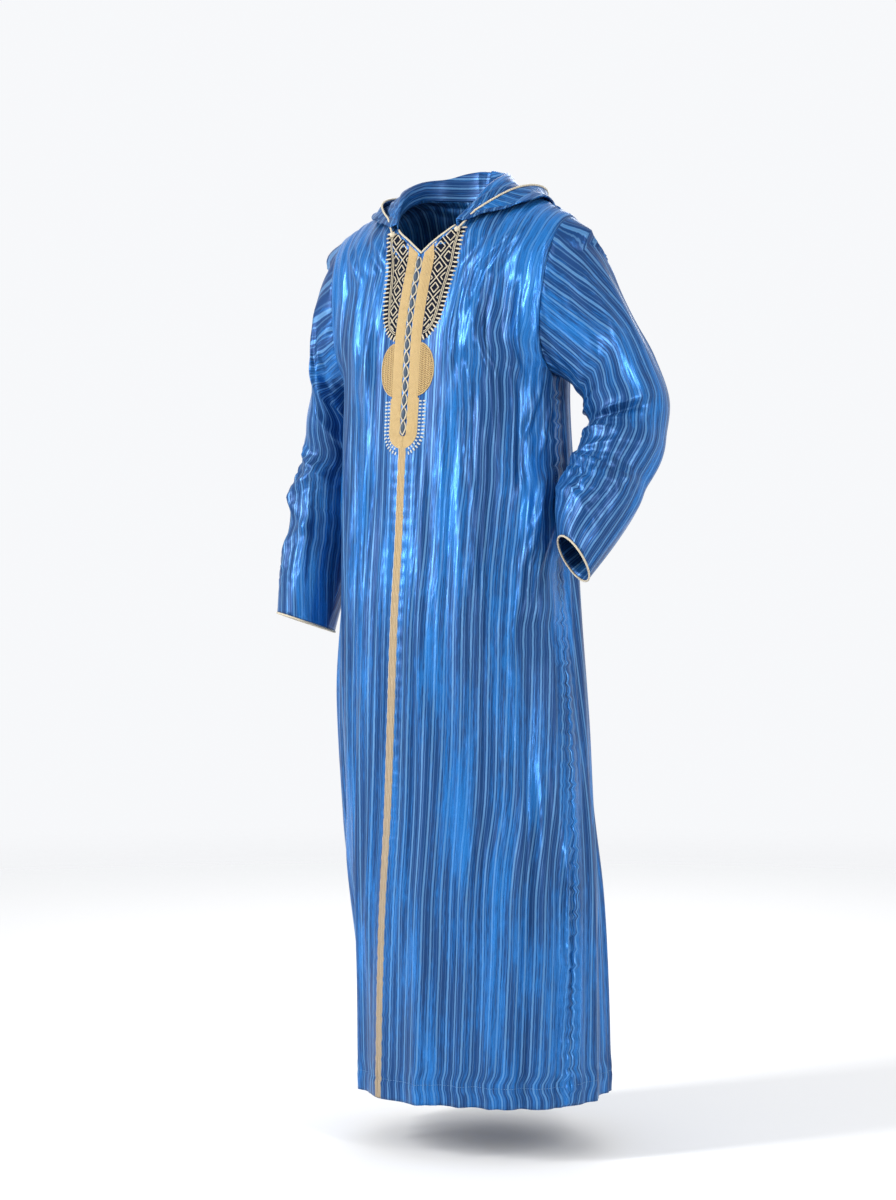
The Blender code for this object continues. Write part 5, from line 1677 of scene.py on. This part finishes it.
def satin_finish(name, deep, light, painted_highlight, crumple_depth):
    """Striped satin material, with a painted highlight mixed into its colour."""
    material, tree, shader = new_finish(name)
    cloth_node = grouped(tree, satin)
    gloss_and_painted_highlight = cloth_node.outputs["Streaks"]
    colour = mixed(tree, cloth_node.outputs["Stripe"], deep, light)
    set_values(tree, shader, {
        # painted highlight: the colour turns bright blue where the streaky mask is strong
        "Base Color": mixed(tree, maths(tree, "MULTIPLY", gloss_and_painted_highlight, 0.62), colour, painted_highlight),
        "Roughness": soft_range(tree, gloss_and_painted_highlight, 0.0, 1.0, 0.44, 0.27),
        "Metallic": 0.35,
        "Specular IOR Level": 0.35,
        "Sheen Weight": 0.02,
        "Sheen Roughness": 0.45,
        "Sheen Tint": (0.55, 0.75, 1.0, 1.0),
        "Normal": bumped(tree, cloth_node.outputs["Height"], 1.0, crumple_depth),
    })
    return material


def finish(piece, material):
    """Gives a piece one material."""
    piece.data.materials.clear()
    piece.data.materials.append(material)


striped = satin_finish("striped blue satin", DEEP_BLUE, LIGHT_BLUE, PAINTED_HIGHLIGHT_BLUE, CRUMPLE_DEPTH)
for name in SATIN_PIECES:
    finish(cloth[name], striped)
print("satin on", len(SATIN_PIECES), "pieces")

# %% [markdown]
# ## Thread finishes
# Twisted silk shows fine slanted lines across the thread. One group draws them on the thread's own map, as a
# colour mask and a height; the mask gives the grooves between the lines the darker colour, as painted shade.
# Cream, pale, gold and seam thread and the dark ground of the plastron use it with their own colours. The
# eyes use it with a dark grey-blue that is painted shade, standing for the blue cloth in shade between the
# lacing cords, and the roundel's ground with a dark gold that is painted shade in the gaps between its
# stitches. The braid fades from gold at the chest to a paler beige at the hem, which the height of each
# point steers.

# %% Thread group and materials
twist, start, end = new_group(
    "twisted silk",
    [("Flat Cut", "NodeSocketVector", None), ("Lines", "NodeSocketFloat", 900.0)],
    [("Line", "NodeSocketFloat"), ("Wear", "NodeSocketFloat"), ("Height", "NodeSocketFloat")])
parts = new_node(twist, "SeparateXYZ", {0: start.outputs["Flat Cut"]})
slant = maths(twist, "ADD", parts.outputs[0], maths(twist, "MULTIPLY", parts.outputs[1], 0.8))
turns = maths(twist, "MULTIPLY", start.outputs["Lines"], 6.283)
wave = maths(twist, "SINE", maths(twist, "MULTIPLY", slant, turns))
line = soft_range(twist, wave, -1.0, 0.6)
twist.links.new(line, end.inputs["Line"])
twist.links.new(noise(twist, start.outputs["Flat Cut"], 120.0, 300.0), end.inputs["Wear"])
twist.links.new(line, end.inputs["Height"])


def silk_finish(name, shade, light, roughness, metallic, lines=900.0, foot=None):
    """Twisted silk material; foot is the light colour at the hem."""
    material, tree, shader = new_finish(name)
    thread = grouped(tree, twist, Lines=lines)
    if foot is not None:
        place_node = tree.nodes.new("ShaderNodeTexCoord")
        split = new_node(tree, "SeparateXYZ", {0: place_node.outputs["Object"]})
        light = mixed(tree, soft_range(tree, split.outputs[2], -0.42, -0.95), light, foot)
    # painted shade: the grooves between the twist lines take the darker colour
    colour = mixed(tree, thread.outputs["Line"], shade, light)
    darker = maths(tree, "MULTIPLY", thread.outputs["Wear"], 0.35)
    set_values(tree, shader, {
        "Base Color": mixed(tree, darker, colour, shade),
        "Roughness": roughness,
        "Metallic": metallic,
        "Normal": bumped(tree, thread.outputs["Height"], 0.6, 0.0003),
    })
    return material


cream = silk_finish("cream silk", (0.38, 0.31, 0.20), (0.78, 0.71, 0.55), 0.48, 0.0)
pale = silk_finish("pale silk", (0.40, 0.40, 0.36), (0.70, 0.70, 0.64), 0.48, 0.0)
gold = silk_finish("gold thread", (0.38, 0.26, 0.11), (0.74, 0.55, 0.27), 0.42, 0.10)
# dark gold of the roundel's ground: painted shade in the gaps between the gold stitches
gold_gap_painted_shade = silk_finish("gold gaps painted shade", (0.16, 0.10, 0.035), (0.30, 0.20, 0.080), 0.55, 0.0)
braid = silk_finish("braid thread", (0.34, 0.25, 0.14), (0.68, 0.50, 0.25), 0.45, 0.08,
                    foot=(0.50, 0.42, 0.33))
# dark grey-blue of the eyes: painted shade, standing for the blue cloth in shade between the lacing cords
painted_eye_shade = silk_finish("painted eye shade", (0.010, 0.025, 0.050), (0.032, 0.066, 0.115), 0.50, 0.0)
seam_thread = silk_finish("seam thread", (0.040, 0.130, 0.290), (0.150, 0.330, 0.570), 0.45, 0.0)
ground = silk_finish("plastron ground", (0.002, 0.003, 0.008), (0.008, 0.013, 0.030), 0.85, 0.0,
                     lines=500.0)
ground.node_tree.nodes["Principled BSDF"].inputs["Specular IOR Level"].default_value = 0.10
PAIRED_FINISHES = {
    "band_": gold, "roundel_": gold_gap_painted_shade, "roundel_thread_": gold, "ground_": ground,
    "plastron_": cream, "teeth_": pale, "lace_": cream, "cuff_": cream, "knot_": cream,
}
SINGLE_FINISHES = {
    "braid": braid, "eyes": painted_eye_shade, "stitches": seam_thread, "hood_piping": cream, "neck_piping": cream,
}
for side in SIDES:
    for name, material in PAIRED_FINISHES.items():
        finish(cloth[name + side], material)
for name, material in SINGLE_FINISHES.items():
    finish(cloth[name], material)
threads = (cream, pale, gold, gold_gap_painted_shade, braid, painted_eye_shade, seam_thread, ground)
print("thread finishes:", ", ".join(material.name for material in threads))

# %% [markdown]
# ## Studio
# A pale floor that fades into the background, a large soft light from the front and smaller ones beside it.
# The camera stands three quarters to the left of the garment at its middle height, with a long lens.

# %% Floor, light and camera
FLOOR = -1.475
FLOOR_RADIUS = 6.0
# name, place, point aimed at, width and height, power
LIGHTS = (
    ("key", (-1.9, -3.0, 1.0), (0.0, 0.0, -0.5), (0.6, 2.4), 150.0),
    ("side", (3.3, -1.5, 0.5), (0.0, 0.0, -0.6), (0.5, 2.2), 66.0),
    ("back", (-1.5, 3.2, 1.2), (0.0, 0.0, -0.5), (2.0, 2.0), 36.0),
)
CAMERA_PLACE = (2.163, -3.365, -0.616)
CAMERA_TURN = (math.radians(90.0), 0.0, math.radians(33.0))

deselect()
bpy.ops.mesh.primitive_circle_add(vertices=64, radius=FLOOR_RADIUS, fill_type="NGON",
                                  location=(0.0, 0.0, FLOOR))
floor = bpy.context.active_object
floor.name = "studio_floor"
material, tree, shader = new_finish("pale floor")
place_node = tree.nodes.new("ShaderNodeTexCoord")
length = new_node(tree, "VectorMath", {0: place_node.outputs["Object"]}, operation="LENGTH")
set_values(tree, shader, {
    "Base Color": (0.86, 0.86, 0.86, 1.0),
    "Roughness": 0.85,
    "Alpha": soft_range(tree, length.outputs["Value"], 1.6, 5.6, 1.0, 0.0),
})
finish(floor, material)

world = bpy.data.worlds.new("studio")
bpy.context.scene.world = world
world.use_nodes = True
sky = world.node_tree
view = sky.nodes.new("ShaderNodeTexCoord")
facing = new_node(sky, "SeparateXYZ", {0: view.outputs["Generated"]})
set_values(sky, sky.nodes["Background"], {
    "Color": (0.97, 0.98, 1.0, 1.0),
    "Strength": soft_range(sky, facing.outputs[1], -0.25, 0.45, 0.62, 0.96),
})


def soft_light(name, place, target, size, power):
    """Large area light aimed at a point."""
    light = bpy.data.lights.new(name, "AREA")
    light.shape = "RECTANGLE"
    light.size, light.size_y = size
    light.energy = power
    lamp = bpy.data.objects.new(name, light)
    bpy.context.scene.collection.objects.link(lamp)
    lamp.location = place
    lamp.rotation_euler = (Vector(target) - Vector(place)).to_track_quat("-Z", "Y").to_euler()
    return lamp


for row in LIGHTS:
    soft_light(*row)

lens = bpy.data.cameras.new("photo_view")
camera = bpy.data.objects.new("photo_view", lens)
bpy.context.scene.collection.objects.link(camera)
camera.location = CAMERA_PLACE
camera.rotation_euler = CAMERA_TURN
lens.lens = 75.0
lens.sensor_width = 36.0
bpy.context.scene.camera = camera
bpy.context.scene.view_settings.view_transform = "Standard"
print("camera", tuple(camera.location), "lens", lens.lens)
